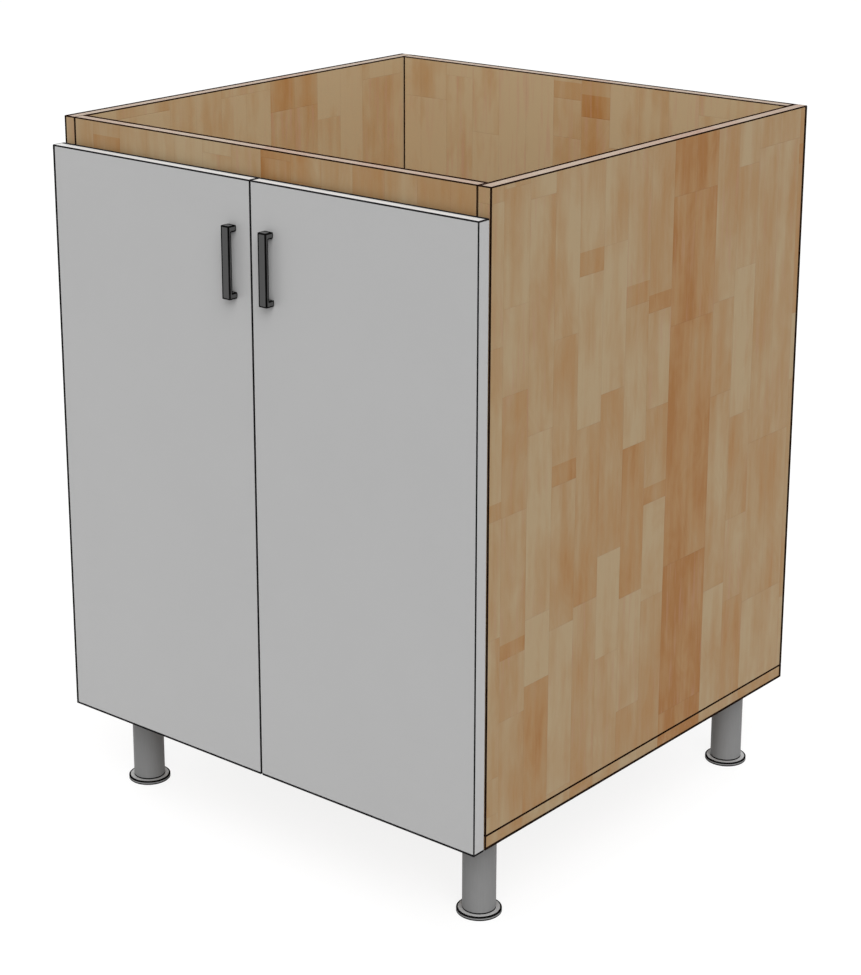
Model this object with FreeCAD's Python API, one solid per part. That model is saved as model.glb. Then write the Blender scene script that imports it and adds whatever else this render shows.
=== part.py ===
"""Sink base cabinet with two overlay doors on four round levelling legs. Millimetres.

X points right, Y points back and Z points up. The origin is on the floor, in the middle of the
whole object's box. Everything is drawn in the carcass's own frame first: X from the middle, Y
from the carcass's front edges, Z from its underside. save() then moves it to the origin above.
Pieces of a side are drawn for the left side and mirrored for the right one.
"""

import FreeCAD
import Part
import math
import os

# Carcass
WIDTH = 600.0
DEPTH = 580.0
CARCASS_HEIGHT = 700.0
BOARD = 17.0                  # carcass board thickness
RAIL_HEIGHT = 100.0

# Doors
DOOR_THICKNESS = 17.0
DOOR_TOP_DROP = 30.0          # carcass top down to the doors' top edge
DOOR_GAP = 2.0                # carcass front to the doors' backs
MEETING_GAP = 2.0             # between the two doors
ARRIS = 1.5                   # rounding of the doors' back edge on the hinge side

# Bow handles
HANDLE_LENGTH = 79.0
HANDLE_WIDTH = 11.5
HANDLE_STAND = 11.8           # door face to the handle's front
HANDLE_BAR = 4.4              # thickness of the bar
HANDLE_FOOT = 7.0             # height of each foot
HANDLE_INSET = 26.2           # cabinet centre line to the handle's centre line
HANDLE_TOP_DROP = 50.0        # door top down to the handle's top
HANDLE_CORNER = 1.0
HANDLE_SCREW_R = 2.0
HANDLE_SCREW_HEAD_R = 4.0
HANDLE_SCREW_HEAD = 2.5       # sunk in the door's back
HANDLE_THREAD_DEPTH = 6.0

# Legs
LEG_HEIGHT = 106.5            # floor to the carcass's underside, feet screwed right in
LEG_FROM_SIDE = 47.2
LEG_FROM_FRONT = 50.3
LEG_FROM_REAR = 43.1
TUBE_R = 18.4
TUBE_WALL = 1.5
FLANGE_RIM = 5.6              # screw centres out to the flange's edge
FLANGE_THICKNESS = 3.0
SPIGOT_HEIGHT = 8.0
LEG_SCREW_R = 2.0
LEG_SCREW_LENGTH = 13.0
LEG_SCREW_HEAD_R = 3.6
LEG_SCREW_CLEAR = 2.4         # between the screws' heads and the tube
NUT_HEIGHT = 20.0
SPINDLE_R = 4.95
SPINDLE_LENGTH = 50.0         # above the disc
SPINDLE_SEAT = 2.5            # sunk into the disc
DISC_R = 24.7
DISC_THICKNESS = 4.5
DISC_CHAMFER = 0.5

# Cup hinges
CUP_R = 17.5
CUP_WALL = 0.8
CUP_EDGE = 3.0                # door edge to the edge of the cup's bore
RIM_THICKNESS = 0.8           # the cup's rim on the door's back
RIM_LAP = 2.0                 # how far the rim reaches past the bore
EAR_INSET = 9.5               # cup centre to the line of its screws
EAR_SPACING = 45.0
EAR_LENGTH = 58.0
EAR_WIDTH = 13.0
EAR_SCREW_R = 1.75
EAR_SCREW_DEPTH = 12.0
EAR_SCREW_HEAD_R = 3.4
EAR_SCREW_HEAD = 0.9
PIN_AHEAD = 12.0              # carcass front to the pin, forwards
PIN_R = 1.25
PIN_LENGTH = 18.0
EYE_WALL = 1.25
NOSE_WIDTH = 8.0              # the arm's height where it dips into the cup
NOSE_THICKNESS = 2.4
ARM_WIDTH = 15.0
ARM_WALL = 1.5
ARM_STAND = 9.0               # side panel's inner face to the inside of the arm's channel
ARM_TOP = 2.0                 # thickness of the channel's web
ARM_START = 3.0
ARM_LENGTH = 65.0
ARM_FRONT_WALL = 5.0
PLATE_THICKNESS = 2.5
PLATE_WING = 48.0
PLATE_WING_WIDTH = 16.0
PLATE_SETBACK = 37.0          # carcass front to the line of the plate's screws
PLATE_SCREW_SPACING = 32.0
PLATE_SCREW_R = 2.5
PLATE_SCREW_DEPTH = 11.0
PLATE_SCREW_HEAD_R = 4.2
ARM_SCREW_BEHIND = 12.0       # plate screws' line to the arm's screw, backwards
ARM_SCREW_R = 2.0
ARM_SCREW_HEAD_R = 4.0
HINGE_FROM_END = 100.0        # door end to the middle of each cup
CARCASS_CLEARANCE = 0.25      # turning door edge to the carcass front

# Fastenings of the carcass
LONG_SCREW_R = 3.5
LONG_SCREW_CORE_R = 2.5
LONG_SCREW_HEAD_R = 5.0
LONG_SCREW_HEAD = 4.0
LONG_SCREW_LENGTH = 50.0
LONG_SCREW_END = 60.0         # first long screw from the front and the rear
LONG_SCREW_BACK_PITCH = 150.0
CAM_R = 7.5
CAM_DEPTH = 12.5
CAM_FROM_END = 34.0
CAM_SLOT = 2.0                # width and depth of the screwdriver slot
BOLT_R = 2.5
BOLT_HEAD_R = 3.0
BOLT_BORE_R = 4.0
BOLT_THREAD = 11.0
BOLT_COLLAR = 3.0
DOWEL_R = 4.0
DOWEL_IN_SIDE = 11.0
DOWEL_IN_END = 17.0
RAIL_DOWEL_SPACING = 64.0
BACK_CAM_FROM_END = 110.0
BACK_DOWEL_FROM_END = 210.0

# Small parts
SCREW_HEAD = 2.0              # height of a pan head, where no other is given
DRIVE_SHARE = 0.48            # a drive recess's radius, of the head's
DRIVE_DEPTH_SHARE = 0.6       # its depth, of the head's height
PAD_R = 5.0
PAD_SLACK = 0.2               # bumper pad to the carcass
PAD_FROM_EDGE = 15.0

# Fits
FIT = 0.05                    # radial clearance of screws, dowels, plugs and the hinge pin
END_SLACK = 0.5               # spare depth at the end of a blind hole
SIDE_PLAY = 0.3               # between pieces that move past each other
MARGIN = 1.0                  # how far cutting tools stand out of what they cut

# Worked out
INNER = WIDTH / 2 - BOARD
DOOR_TOP = CARCASS_HEIGHT - DOOR_TOP_DROP
DOOR_BACK = -DOOR_GAP
DOOR_FRONT = DOOR_BACK - DOOR_THICKNESS
HANDLE_FRONT = DOOR_FRONT - HANDLE_STAND
FRONT_Y = -(DEPTH + HANDLE_FRONT) / 2
HANDLE_TOP = DOOR_TOP - HANDLE_TOP_DROP
HANDLE_X = -HANDLE_INSET
RAIL_BOTTOM = CARCASS_HEIGHT - RAIL_HEIGHT
BACK_FRONT = DEPTH - BOARD
# The pin stands as far in from the door's edge as the rounded back edge can turn past the carcass.
PIN_IN = ARRIS + math.sqrt(
    (PIN_AHEAD - CARCASS_CLEARANCE - ARRIS) ** 2 - (PIN_AHEAD - DOOR_GAP - ARRIS) ** 2
)
PIN_X = -WIDTH / 2 + PIN_IN
EYE_R = PIN_R + EYE_WALL
CUP_X = -WIDTH / 2 + CUP_EDGE + CUP_R
CUP_INNER_R = CUP_R - CUP_WALL
CUP_FLOOR = -PIN_AHEAD - EYE_R - SIDE_PLAY
CUP_DEPTH = DOOR_BACK - CUP_FLOOR + CUP_WALL
RIM_R = CUP_R + RIM_LAP
ARM_X = -INNER + ARM_STAND
NOSE_X = ARM_X - NOSE_THICKNESS / 2
HINGE_HEIGHTS = {"lower": HINGE_FROM_END, "upper": DOOR_TOP - HINGE_FROM_END}
TUBE_END = DISC_THICKNESS - LEG_HEIGHT
BORE_R = TUBE_R - TUBE_WALL
LEG_SCREW_RING_R = TUBE_R + LEG_SCREW_CLEAR + LEG_SCREW_HEAD_R
FLANGE_R = LEG_SCREW_RING_R + FLANGE_RIM
LEGS = {
    "front_left": (-WIDTH / 2 + LEG_FROM_SIDE, LEG_FROM_FRONT),
    "front_right": (WIDTH / 2 - LEG_FROM_SIDE, LEG_FROM_FRONT),
    "rear_left": (-WIDTH / 2 + LEG_FROM_SIDE, DEPTH - LEG_FROM_REAR),
    "rear_right": (WIDTH / 2 - LEG_FROM_SIDE, DEPTH - LEG_FROM_REAR),
}

LEFT = FreeCAD.Vector(-1, 0, 0)
RIGHT = FreeCAD.Vector(1, 0, 0)
FORWARD = FreeCAD.Vector(0, -1, 0)
BACKWARD = FreeCAD.Vector(0, 1, 0)
UP = FreeCAD.Vector(0, 0, 1)
DOWN = FreeCAD.Vector(0, 0, -1)


# Building blocks

def box(x0, x1, y0, y1, z0, z1):
    return Part.makeBox(x1 - x0, y1 - y0, z1 - z0, FreeCAD.Vector(x0, y0, z0))


def rod(radius, start, direction, length):
    return Part.makeCylinder(radius, length, FreeCAD.Vector(*start), direction)


def along(start, direction, distance):
    """The point that lies a distance from start in a direction."""
    return tuple(FreeCAD.Vector(*start) + direction * distance)


def joined(shapes):
    first, *others = shapes
    return first.fuse(others).removeSplitter() if others else first


def mirrored(shape):
    return shape.mirror(FreeCAD.Vector(0, 0, 0), RIGHT)


def both_sides(shapes):
    return shapes + [mirrored(shape) for shape in shapes]


def hexagon(radius, start, direction, depth):
    """A hexagonal prism for a screw's drive."""
    turn = FreeCAD.Rotation(UP, direction)
    points = [
        turn.multVec(FreeCAD.Vector(radius * math.cos(a), radius * math.sin(a), 0))
        + FreeCAD.Vector(*start)
        for a in (math.radians(60 * i) for i in range(7))
    ]
    return Part.Face(Part.makePolygon(points)).extrude(direction * depth)


def screw(seat, direction, radius, length, head_r, head_height=SCREW_HEAD):
    """A pan-head screw: its head stands on seat, and its shank runs along direction."""
    head = rod(head_r, along(seat, direction, -head_height), direction, head_height)
    shank = rod(radius, seat, direction, length)
    top = along(seat, direction, -head_height)
    drive = hexagon(head_r * DRIVE_SHARE, top, direction, head_height * DRIVE_DEPTH_SHARE)
    return joined([head, shank]).cut(drive)


# Carcass boards and what joins them

def long_screw_places():
    """(x, y) of the screws that rise through the bottom panel."""
    side_x = WIDTH / 2 - BOARD / 2
    rows = [LONG_SCREW_END, DEPTH / 2, DEPTH - LONG_SCREW_END]
    at_sides = [(sign * side_x, y) for sign in (-1, 1) for y in rows]
    back_y = DEPTH - BOARD / 2
    at_back = [(i * LONG_SCREW_BACK_PITCH, back_y) for i in (-1, 0, 1)]
    return at_sides + at_back


def long_screw(x, y, slack=0.0):
    """A countersunk connecting screw, or with slack the hole that it needs."""
    head = Part.makeCone(
        LONG_SCREW_HEAD_R + slack, LONG_SCREW_R + slack, LONG_SCREW_HEAD, FreeCAD.Vector(x, y, 0), UP
    )
    neck = rod(LONG_SCREW_R + slack, (x, y, 0), UP, BOARD)
    end = LONG_SCREW_LENGTH + (END_SLACK if slack else 0.0)
    core = rod(LONG_SCREW_CORE_R + slack, (x, y, 0), UP, end)
    return joined([neck, head, core])


def long_screws():
    drive_r = LONG_SCREW_HEAD_R * DRIVE_SHARE
    drive_depth = LONG_SCREW_HEAD * DRIVE_DEPTH_SHARE
    return Part.makeCompound([
        long_screw(x, y).cut(hexagon(drive_r, (x, y, 0), UP, drive_depth))
        for x, y in long_screw_places()
    ])


def long_screw_holes():
    return [long_screw(x, y, FIT) for x, y in long_screw_places()]


def cam_joints():
    """(y, z, face) of each left-hand cam: the bolt's height and depth, and the cam's open face."""
    rail_y = BOARD / 2
    back_y = DEPTH - BOARD / 2
    low = BACK_CAM_FROM_END
    high = CARCASS_HEIGHT - BACK_CAM_FROM_END
    rail_z = RAIL_BOTTOM + RAIL_HEIGHT / 2
    return [(rail_y, rail_z, BOARD), (back_y, low, DEPTH), (back_y, high, DEPTH)]


def dowel_places():
    """(y, z) of each left-hand dowel."""
    rail_z = RAIL_BOTTOM + RAIL_HEIGHT / 2
    half = RAIL_DOWEL_SPACING / 2
    back_y = DEPTH - BOARD / 2
    in_rail = [(BOARD / 2, rail_z + offset) for offset in (-half, half)]
    in_back = [
        (back_y, z) for z in (BACK_DOWEL_FROM_END, CARCASS_HEIGHT - BACK_DOWEL_FROM_END)
    ]
    return in_rail + in_back


def cam_lock(y, z, face):
    """A cam disc with its drive slot and the pocket for the bolt's head."""
    x = -INNER + CAM_FROM_END
    disc = rod(CAM_R - FIT, (x, face, z), FORWARD, CAM_DEPTH - END_SLACK)
    pocket = rod(BOLT_HEAD_R + END_SLACK, (x + BOLT_HEAD_R, y, z), LEFT, CAM_R + CAM_FROM_END)
    slot = box(
        x - CAM_R / 2, x + CAM_R / 2, face - CAM_SLOT, face + MARGIN, z - CAM_SLOT / 2, z + CAM_SLOT / 2
    )
    return disc.cut([pocket, slot])


def cam_bolt(y, z):
    """The bolt: thread in the side panel, collar against it, and head inside the cam."""
    thread = rod(BOLT_R - FIT, (-INNER, y, z), LEFT, BOLT_THREAD - END_SLACK)
    collar = rod(BOLT_BORE_R - FIT, (-INNER, y, z), RIGHT, BOLT_COLLAR)
    shank = rod(BOLT_R - FIT, (-INNER, y, z), RIGHT, CAM_FROM_END)
    head = rod(BOLT_HEAD_R, (-INNER + CAM_FROM_END - BOLT_HEAD_R, y, z), RIGHT, BOLT_HEAD_R)
    return joined([thread, collar, shank, head])


def cam_locks():
    return Part.makeCompound(both_sides([cam_lock(*place) for place in cam_joints()]))


def cam_bolts():
    return Part.makeCompound(both_sides([cam_bolt(y, z) for y, z, face in cam_joints()]))


def dowels():
    length = DOWEL_IN_SIDE + DOWEL_IN_END - 2 * END_SLACK
    start = -INNER - DOWEL_IN_SIDE + END_SLACK
    pieces = [
        rod(DOWEL_R - FIT, (start, y, z), RIGHT, length) for y, z in dowel_places()
    ]
    return Part.makeCompound(both_sides(pieces))


def end_holes():
    """Cam bores, bolt bores and dowel bores in the ends of the rail and of the back."""
    x = -INNER + CAM_FROM_END
    cams = [rod(CAM_R, (x, face, z), FORWARD, CAM_DEPTH) for y, z, face in cam_joints()]
    bolts = [rod(BOLT_BORE_R, (-INNER, y, z), RIGHT, CAM_FROM_END) for y, z, face in cam_joints()]
    pegs = [rod(DOWEL_R, (-INNER, y, z), RIGHT, DOWEL_IN_END) for y, z in dowel_places()]
    return both_sides(cams + bolts + pegs)


def side_holes():
    """Bores in the left side panel's inner face for bolts, dowels and hinge plate screws."""
    bolts = [rod(BOLT_R, (-INNER, y, z), LEFT, BOLT_THREAD) for y, z, face in cam_joints()]
    pegs = [rod(DOWEL_R, (-INNER, y, z), LEFT, DOWEL_IN_SIDE) for y, z in dowel_places()]
    plates = [
        rod(PLATE_SCREW_R, (-INNER, PLATE_SETBACK, z), LEFT, PLATE_SCREW_DEPTH + END_SLACK)
        for height in HINGE_HEIGHTS.values()
        for z in plate_screw_heights(height)
    ]
    return bolts + pegs + plates


def bottom_panel():
    board = box(-WIDTH / 2, WIDTH / 2, 0, DEPTH, 0, BOARD)
    return board.cut(long_screw_holes() + leg_screw_holes())


def side_panel():
    board = box(-WIDTH / 2, -INNER, 0, DEPTH, BOARD, CARCASS_HEIGHT)
    return board.cut(long_screw_holes() + side_holes())


def back_panel():
    board = box(-INNER, INNER, BACK_FRONT, DEPTH, BOARD, CARCASS_HEIGHT)
    return board.cut(long_screw_holes() + end_holes())


def front_rail():
    board = box(-INNER, INNER, 0, BOARD, RAIL_BOTTOM, CARCASS_HEIGHT)
    return board.cut(end_holes())


# Doors and handles

def handle_screw_heights():
    return (HANDLE_TOP - HANDLE_FOOT / 2, HANDLE_TOP - HANDLE_LENGTH + HANDLE_FOOT / 2)


def door():
    slab = box(-WIDTH / 2, -MEETING_GAP / 2, DOOR_FRONT, DOOR_BACK, 0, DOOR_TOP)
    turning_edge = [
        edge for edge in slab.Edges
        if abs(edge.CenterOfMass.x + WIDTH / 2) < FIT and abs(edge.CenterOfMass.y - DOOR_BACK) < FIT
    ]
    slab = slab.makeFillet(ARRIS, turning_edge)
    tools = []
    for height in HINGE_HEIGHTS.values():
        tools.append(rod(CUP_R, (CUP_X, DOOR_BACK, height), FORWARD, CUP_DEPTH))
        for z in ear_screw_heights(height):
            ear = (CUP_X + EAR_INSET, DOOR_BACK, z)
            tools.append(rod(EAR_SCREW_R, ear, FORWARD, EAR_SCREW_DEPTH))
    for z in handle_screw_heights():
        tools.append(rod(HANDLE_SCREW_R + FIT, (HANDLE_X, DOOR_BACK, z), FORWARD, DOOR_THICKNESS))
        sink_r = HANDLE_SCREW_HEAD_R + FIT
        tools.append(rod(sink_r, (HANDLE_X, DOOR_BACK, z), FORWARD, HANDLE_SCREW_HEAD))
    return slab.cut(tools)


def handle():
    x0 = HANDLE_X - HANDLE_WIDTH / 2
    x1 = HANDLE_X + HANDLE_WIDTH / 2
    bottom = HANDLE_TOP - HANDLE_LENGTH
    bow = box(x0, x1, HANDLE_FRONT, DOOR_FRONT, bottom, HANDLE_TOP)
    gap = box(
        x0 - MARGIN, x1 + MARGIN, HANDLE_FRONT + HANDLE_BAR, DOOR_FRONT + MARGIN,
        bottom + HANDLE_FOOT, HANDLE_TOP - HANDLE_FOOT,
    )
    bow = bow.cut(gap)
    corners = [
        edge for edge in bow.Edges
        if abs(edge.BoundBox.XLength - HANDLE_WIDTH) < FIT
        and edge.CenterOfMass.y < DOOR_FRONT - FIT
    ]
    bow = bow.makeFillet(HANDLE_CORNER, corners)
    threads = [
        rod(HANDLE_SCREW_R, (HANDLE_X, DOOR_FRONT, z), FORWARD, HANDLE_THREAD_DEPTH)
        for z in handle_screw_heights()
    ]
    return bow.cut(threads)


def handle_screws():
    seat_y = DOOR_BACK - HANDLE_SCREW_HEAD
    length = DOOR_THICKNESS - HANDLE_SCREW_HEAD + HANDLE_THREAD_DEPTH - END_SLACK
    return Part.makeCompound([
        screw(
            (HANDLE_X, seat_y, z), FORWARD, HANDLE_SCREW_R - FIT, length,
            HANDLE_SCREW_HEAD_R, HANDLE_SCREW_HEAD,
        )
        for z in handle_screw_heights()
    ])


def bumper_pads():
    x = -PAD_FROM_EDGE
    top_z = DOOR_TOP - PAD_FROM_EDGE
    return Part.makeCompound([
        rod(PAD_R, (x, DOOR_BACK, z), BACKWARD, DOOR_GAP - PAD_SLACK) for z in (top_z, BOARD / 2)
    ])


# Cup hinges, drawn at a height

def ear_screw_heights(height):
    return (height - EAR_SPACING / 2, height + EAR_SPACING / 2)


def plate_screw_heights(height):
    return (height - PLATE_SCREW_SPACING / 2, height + PLATE_SCREW_SPACING / 2)


def hinge_cup(height):
    """The cup sunk in the door's back, with its rim, its ears and the two lugs of the pin."""
    rim_y = DOOR_BACK + RIM_THICKNESS
    body = rod(CUP_R - FIT, (CUP_X, DOOR_BACK, height), FORWARD, CUP_DEPTH - FIT)
    rim = rod(RIM_R, (CUP_X, DOOR_BACK, height), BACKWARD, RIM_THICKNESS)
    ear_x = CUP_X + EAR_INSET
    ears = box(
        ear_x - EAR_WIDTH / 2, ear_x + EAR_WIDTH / 2, DOOR_BACK, rim_y,
        height - EAR_LENGTH / 2, height + EAR_LENGTH / 2,
    )
    trim = box(
        CUP_X - RIM_R - MARGIN, -WIDTH / 2 + CUP_EDGE + SIDE_PLAY, DOOR_BACK, rim_y + MARGIN,
        height - RIM_R, height + RIM_R,
    )
    hollow = rod(CUP_INNER_R, (CUP_X, rim_y, height), FORWARD, rim_y - CUP_FLOOR)
    shell = joined([body, rim.fuse(ears).cut(trim)]).cut(hollow)
    lug_start = NOSE_WIDTH / 2 + SIDE_PLAY
    lug_end = PIN_LENGTH / 2 + SIDE_PLAY
    lugs = [
        box(
            CUP_X - CUP_INNER_R, PIN_X + EYE_R, CUP_FLOOR, -PIN_AHEAD + EYE_R,
            height + z0, height + z1,
        ).common(hollow)
        for z0, z1 in ((lug_start, lug_end), (-lug_end, -lug_start))
    ]
    cup = joined([shell] + lugs)
    tools = [rod(PIN_R, (PIN_X, -PIN_AHEAD, height - PIN_LENGTH / 2), UP, PIN_LENGTH)]
    for z in ear_screw_heights(height):
        tools.append(rod(EAR_SCREW_R + FIT, (ear_x, rim_y, z), FORWARD, RIM_THICKNESS))
    return cup.cut(tools)


def hinge_pin(height):
    return rod(PIN_R - FIT, (PIN_X, -PIN_AHEAD, height - PIN_LENGTH / 2), UP, PIN_LENGTH)


def cup_screws():
    pieces = []
    for height in HINGE_HEIGHTS.values():
        for z in ear_screw_heights(height):
            seat = (CUP_X + EAR_INSET, DOOR_BACK + RIM_THICKNESS, z)
            length = EAR_SCREW_DEPTH + RIM_THICKNESS - END_SLACK
            pieces.append(
                screw(seat, FORWARD, EAR_SCREW_R - FIT, length, EAR_SCREW_HEAD_R, EAR_SCREW_HEAD)
            )
    return Part.makeCompound(pieces)


def hinge_arm(height):
    """The cranked arm: an eye on the pin, a nose out of the cup, and a channel over the plate."""
    z0 = height - NOSE_WIDTH / 2
    z1 = height + NOSE_WIDTH / 2
    half = NOSE_THICKNESS / 2
    eye = rod(EYE_R, (PIN_X, -PIN_AHEAD, z0), UP, NOSE_WIDTH)
    dip = box(PIN_X, NOSE_X + half, -PIN_AHEAD - half, -PIN_AHEAD + half, z0, z1)
    nose = box(NOSE_X - half, NOSE_X + half, -PIN_AHEAD - half, ARM_START + MARGIN, z0, z1)
    channel = box(
        NOSE_X - half, ARM_X + ARM_TOP, ARM_START, ARM_START + ARM_LENGTH,
        height - ARM_WIDTH / 2, height + ARM_WIDTH / 2,
    )
    inside = box(
        NOSE_X - half - MARGIN, ARM_X, ARM_START + ARM_FRONT_WALL, ARM_START + ARM_LENGTH + MARGIN,
        height - ARM_WIDTH / 2 + ARM_WALL, height + ARM_WIDTH / 2 - ARM_WALL,
    )
    hole = rod(
        ARM_SCREW_R + FIT, (ARM_X, PLATE_SETBACK + ARM_SCREW_BEHIND, height), RIGHT, ARM_TOP
    )
    bore = rod(PIN_R, (PIN_X, -PIN_AHEAD, z0), UP, NOSE_WIDTH)
    return joined([eye, dip, nose, channel.cut(inside)]).cut([hole, bore])


def hinge_plate(height):
    """The mounting plate: wings on the side panel and a ridge that fills the arm's channel."""
    wings = box(
        -INNER, -INNER + PLATE_THICKNESS, PLATE_SETBACK - PLATE_WING_WIDTH / 2,
        PLATE_SETBACK + PLATE_WING_WIDTH / 2, height - PLATE_WING / 2, height + PLATE_WING / 2,
    )
    ridge_half = ARM_WIDTH / 2 - ARM_WALL - SIDE_PLAY
    ridge = box(
        -INNER, ARM_X, ARM_START + ARM_FRONT_WALL + SIDE_PLAY, ARM_START + ARM_LENGTH - MARGIN,
        height - ridge_half, height + ridge_half,
    )
    tools = [
        rod(PLATE_SCREW_R, (-INNER, PLATE_SETBACK, z), RIGHT, PLATE_THICKNESS)
        for z in plate_screw_heights(height)
    ]
    deep = ARM_STAND - PLATE_THICKNESS
    tools.append(rod(ARM_SCREW_R, (ARM_X, PLATE_SETBACK + ARM_SCREW_BEHIND, height), LEFT, deep))
    return joined([wings, ridge]).cut(tools)


def plate_screws():
    pieces = [
        screw(
            (-INNER + PLATE_THICKNESS, PLATE_SETBACK, z), LEFT, PLATE_SCREW_R - FIT,
            PLATE_THICKNESS + PLATE_SCREW_DEPTH, PLATE_SCREW_HEAD_R,
        )
        for height in HINGE_HEIGHTS.values()
        for z in plate_screw_heights(height)
    ]
    return Part.makeCompound(both_sides(pieces))


def arm_screws():
    y = PLATE_SETBACK + ARM_SCREW_BEHIND
    length = ARM_TOP + ARM_STAND - PLATE_THICKNESS - END_SLACK
    pieces = [
        screw((ARM_X + ARM_TOP, y, height), LEFT, ARM_SCREW_R - FIT, length, ARM_SCREW_HEAD_R)
        for height in HINGE_HEIGHTS.values()
    ]
    return Part.makeCompound(both_sides(pieces))


# Legs, drawn at a place

def leg_screw_places():
    reach = LEG_SCREW_RING_R / math.sqrt(2)
    return [
        (x + i * reach, y + j * reach)
        for x, y in LEGS.values() for i in (-1, 1) for j in (-1, 1)
    ]


def leg_screw_holes():
    depth = LEG_SCREW_LENGTH - FLANGE_THICKNESS + END_SLACK
    return [rod(LEG_SCREW_R, (x, y, 0), UP, depth) for x, y in leg_screw_places()]


def leg_screws():
    return Part.makeCompound([
        screw((x, y, -FLANGE_THICKNESS), UP, LEG_SCREW_R - FIT, LEG_SCREW_LENGTH, LEG_SCREW_HEAD_R)
        for x, y in leg_screw_places()
    ])


def leg_flange(x, y):
    """The round plate under the cabinet, with the spigot that the tube is pressed on."""
    plate = rod(FLANGE_R, (x, y, 0), DOWN, FLANGE_THICKNESS)
    spigot = rod(BORE_R - FIT, (x, y, 0), DOWN, FLANGE_THICKNESS + SPIGOT_HEIGHT)
    holes = [
        rod(LEG_SCREW_R, (px, py, 0), DOWN, FLANGE_THICKNESS) for px, py in leg_screw_places()
    ]
    return joined([plate, spigot]).cut(holes)


def leg_tube(x, y):
    length = -FLANGE_THICKNESS - TUBE_END
    outer = rod(TUBE_R, (x, y, TUBE_END), UP, length)
    return outer.cut(rod(BORE_R, (x, y, TUBE_END), UP, length))


def leg_nut(x, y):
    """The threaded plug in the tube's lower end."""
    plug = rod(BORE_R - FIT, (x, y, TUBE_END + END_SLACK), UP, NUT_HEIGHT)
    return plug.cut(rod(SPINDLE_R + FIT, (x, y, TUBE_END + END_SLACK), UP, NUT_HEIGHT))


def leg_spindle(x, y):
    return rod(SPINDLE_R, (x, y, TUBE_END - SPINDLE_SEAT), UP, SPINDLE_LENGTH + SPINDLE_SEAT)


def foot_disc(x, y):
    disc = rod(DISC_R, (x, y, -LEG_HEIGHT), UP, DISC_THICKNESS)
    rims = [edge for edge in disc.Edges if isinstance(edge.Curve, Part.Circle)]
    disc = disc.makeChamfer(DISC_CHAMFER, rims)
    return disc.cut(rod(SPINDLE_R, (x, y, TUBE_END - SPINDLE_SEAT), UP, DISC_THICKNESS))


# Output

def save(name, shape):
    shape = shape.copy()
    shape.translate(FreeCAD.Vector(0, FRONT_Y, LEG_HEIGHT))
    solids = shape.Solids
    if not solids or not shape.isValid():
        raise ValueError(name + " is not a valid solid")
    shape = solids[0] if len(solids) == 1 else Part.makeCompound(solids)
    shape.exportStep("parts/" + name + ".step")
    print(name, len(solids), round(sum(solid.Volume for solid in solids), 1))


def save_pair(name, shape):
    """A left-hand piece and its mirror image."""
    save(name + "_left", shape)
    save(name + "_right", mirrored(shape))


def main():
    os.makedirs("parts", exist_ok=True)
    save("bottom_panel", bottom_panel())
    save_pair("side_panel", side_panel())
    save("back_panel", back_panel())
    save("front_rail", front_rail())
    save("long_screws", long_screws())
    save("cam_locks", cam_locks())
    save("cam_bolts", cam_bolts())
    save("dowels", dowels())
    save_pair("door", door())
    save_pair("handle", handle())
    save_pair("handle_screws", handle_screws())
    save_pair("bumper_pads", bumper_pads())
    save_pair("cup_screws", cup_screws())
    for level, height in HINGE_HEIGHTS.items():
        save_pair("hinge_cup_" + level, hinge_cup(height))
        save_pair("hinge_pin_" + level, hinge_pin(height))
        save_pair("hinge_arm_" + level, hinge_arm(height))
        save_pair("hinge_plate_" + level, hinge_plate(height))
    save("plate_screws", plate_screws())
    save("arm_screws", arm_screws())
    save("leg_screws", leg_screws())
    for place, (x, y) in LEGS.items():
        save("leg_flange_" + place, leg_flange(x, y))
        save("leg_tube_" + place, leg_tube(x, y))
        save("leg_nut_" + place, leg_nut(x, y))
        save("leg_spindle_" + place, leg_spindle(x, y))
        save("foot_disc_" + place, foot_disc(x, y))


main()
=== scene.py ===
"""Looks of a sink base cabinet: its visible pieces, finishes and stage, round the CAD frame.

Metres, in the CAD's own frame: X right, Y back, Z up, with the floor at Z = 0.
"""

import math

import bmesh
import bpy
from mathutils import Matrix, Vector


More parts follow.
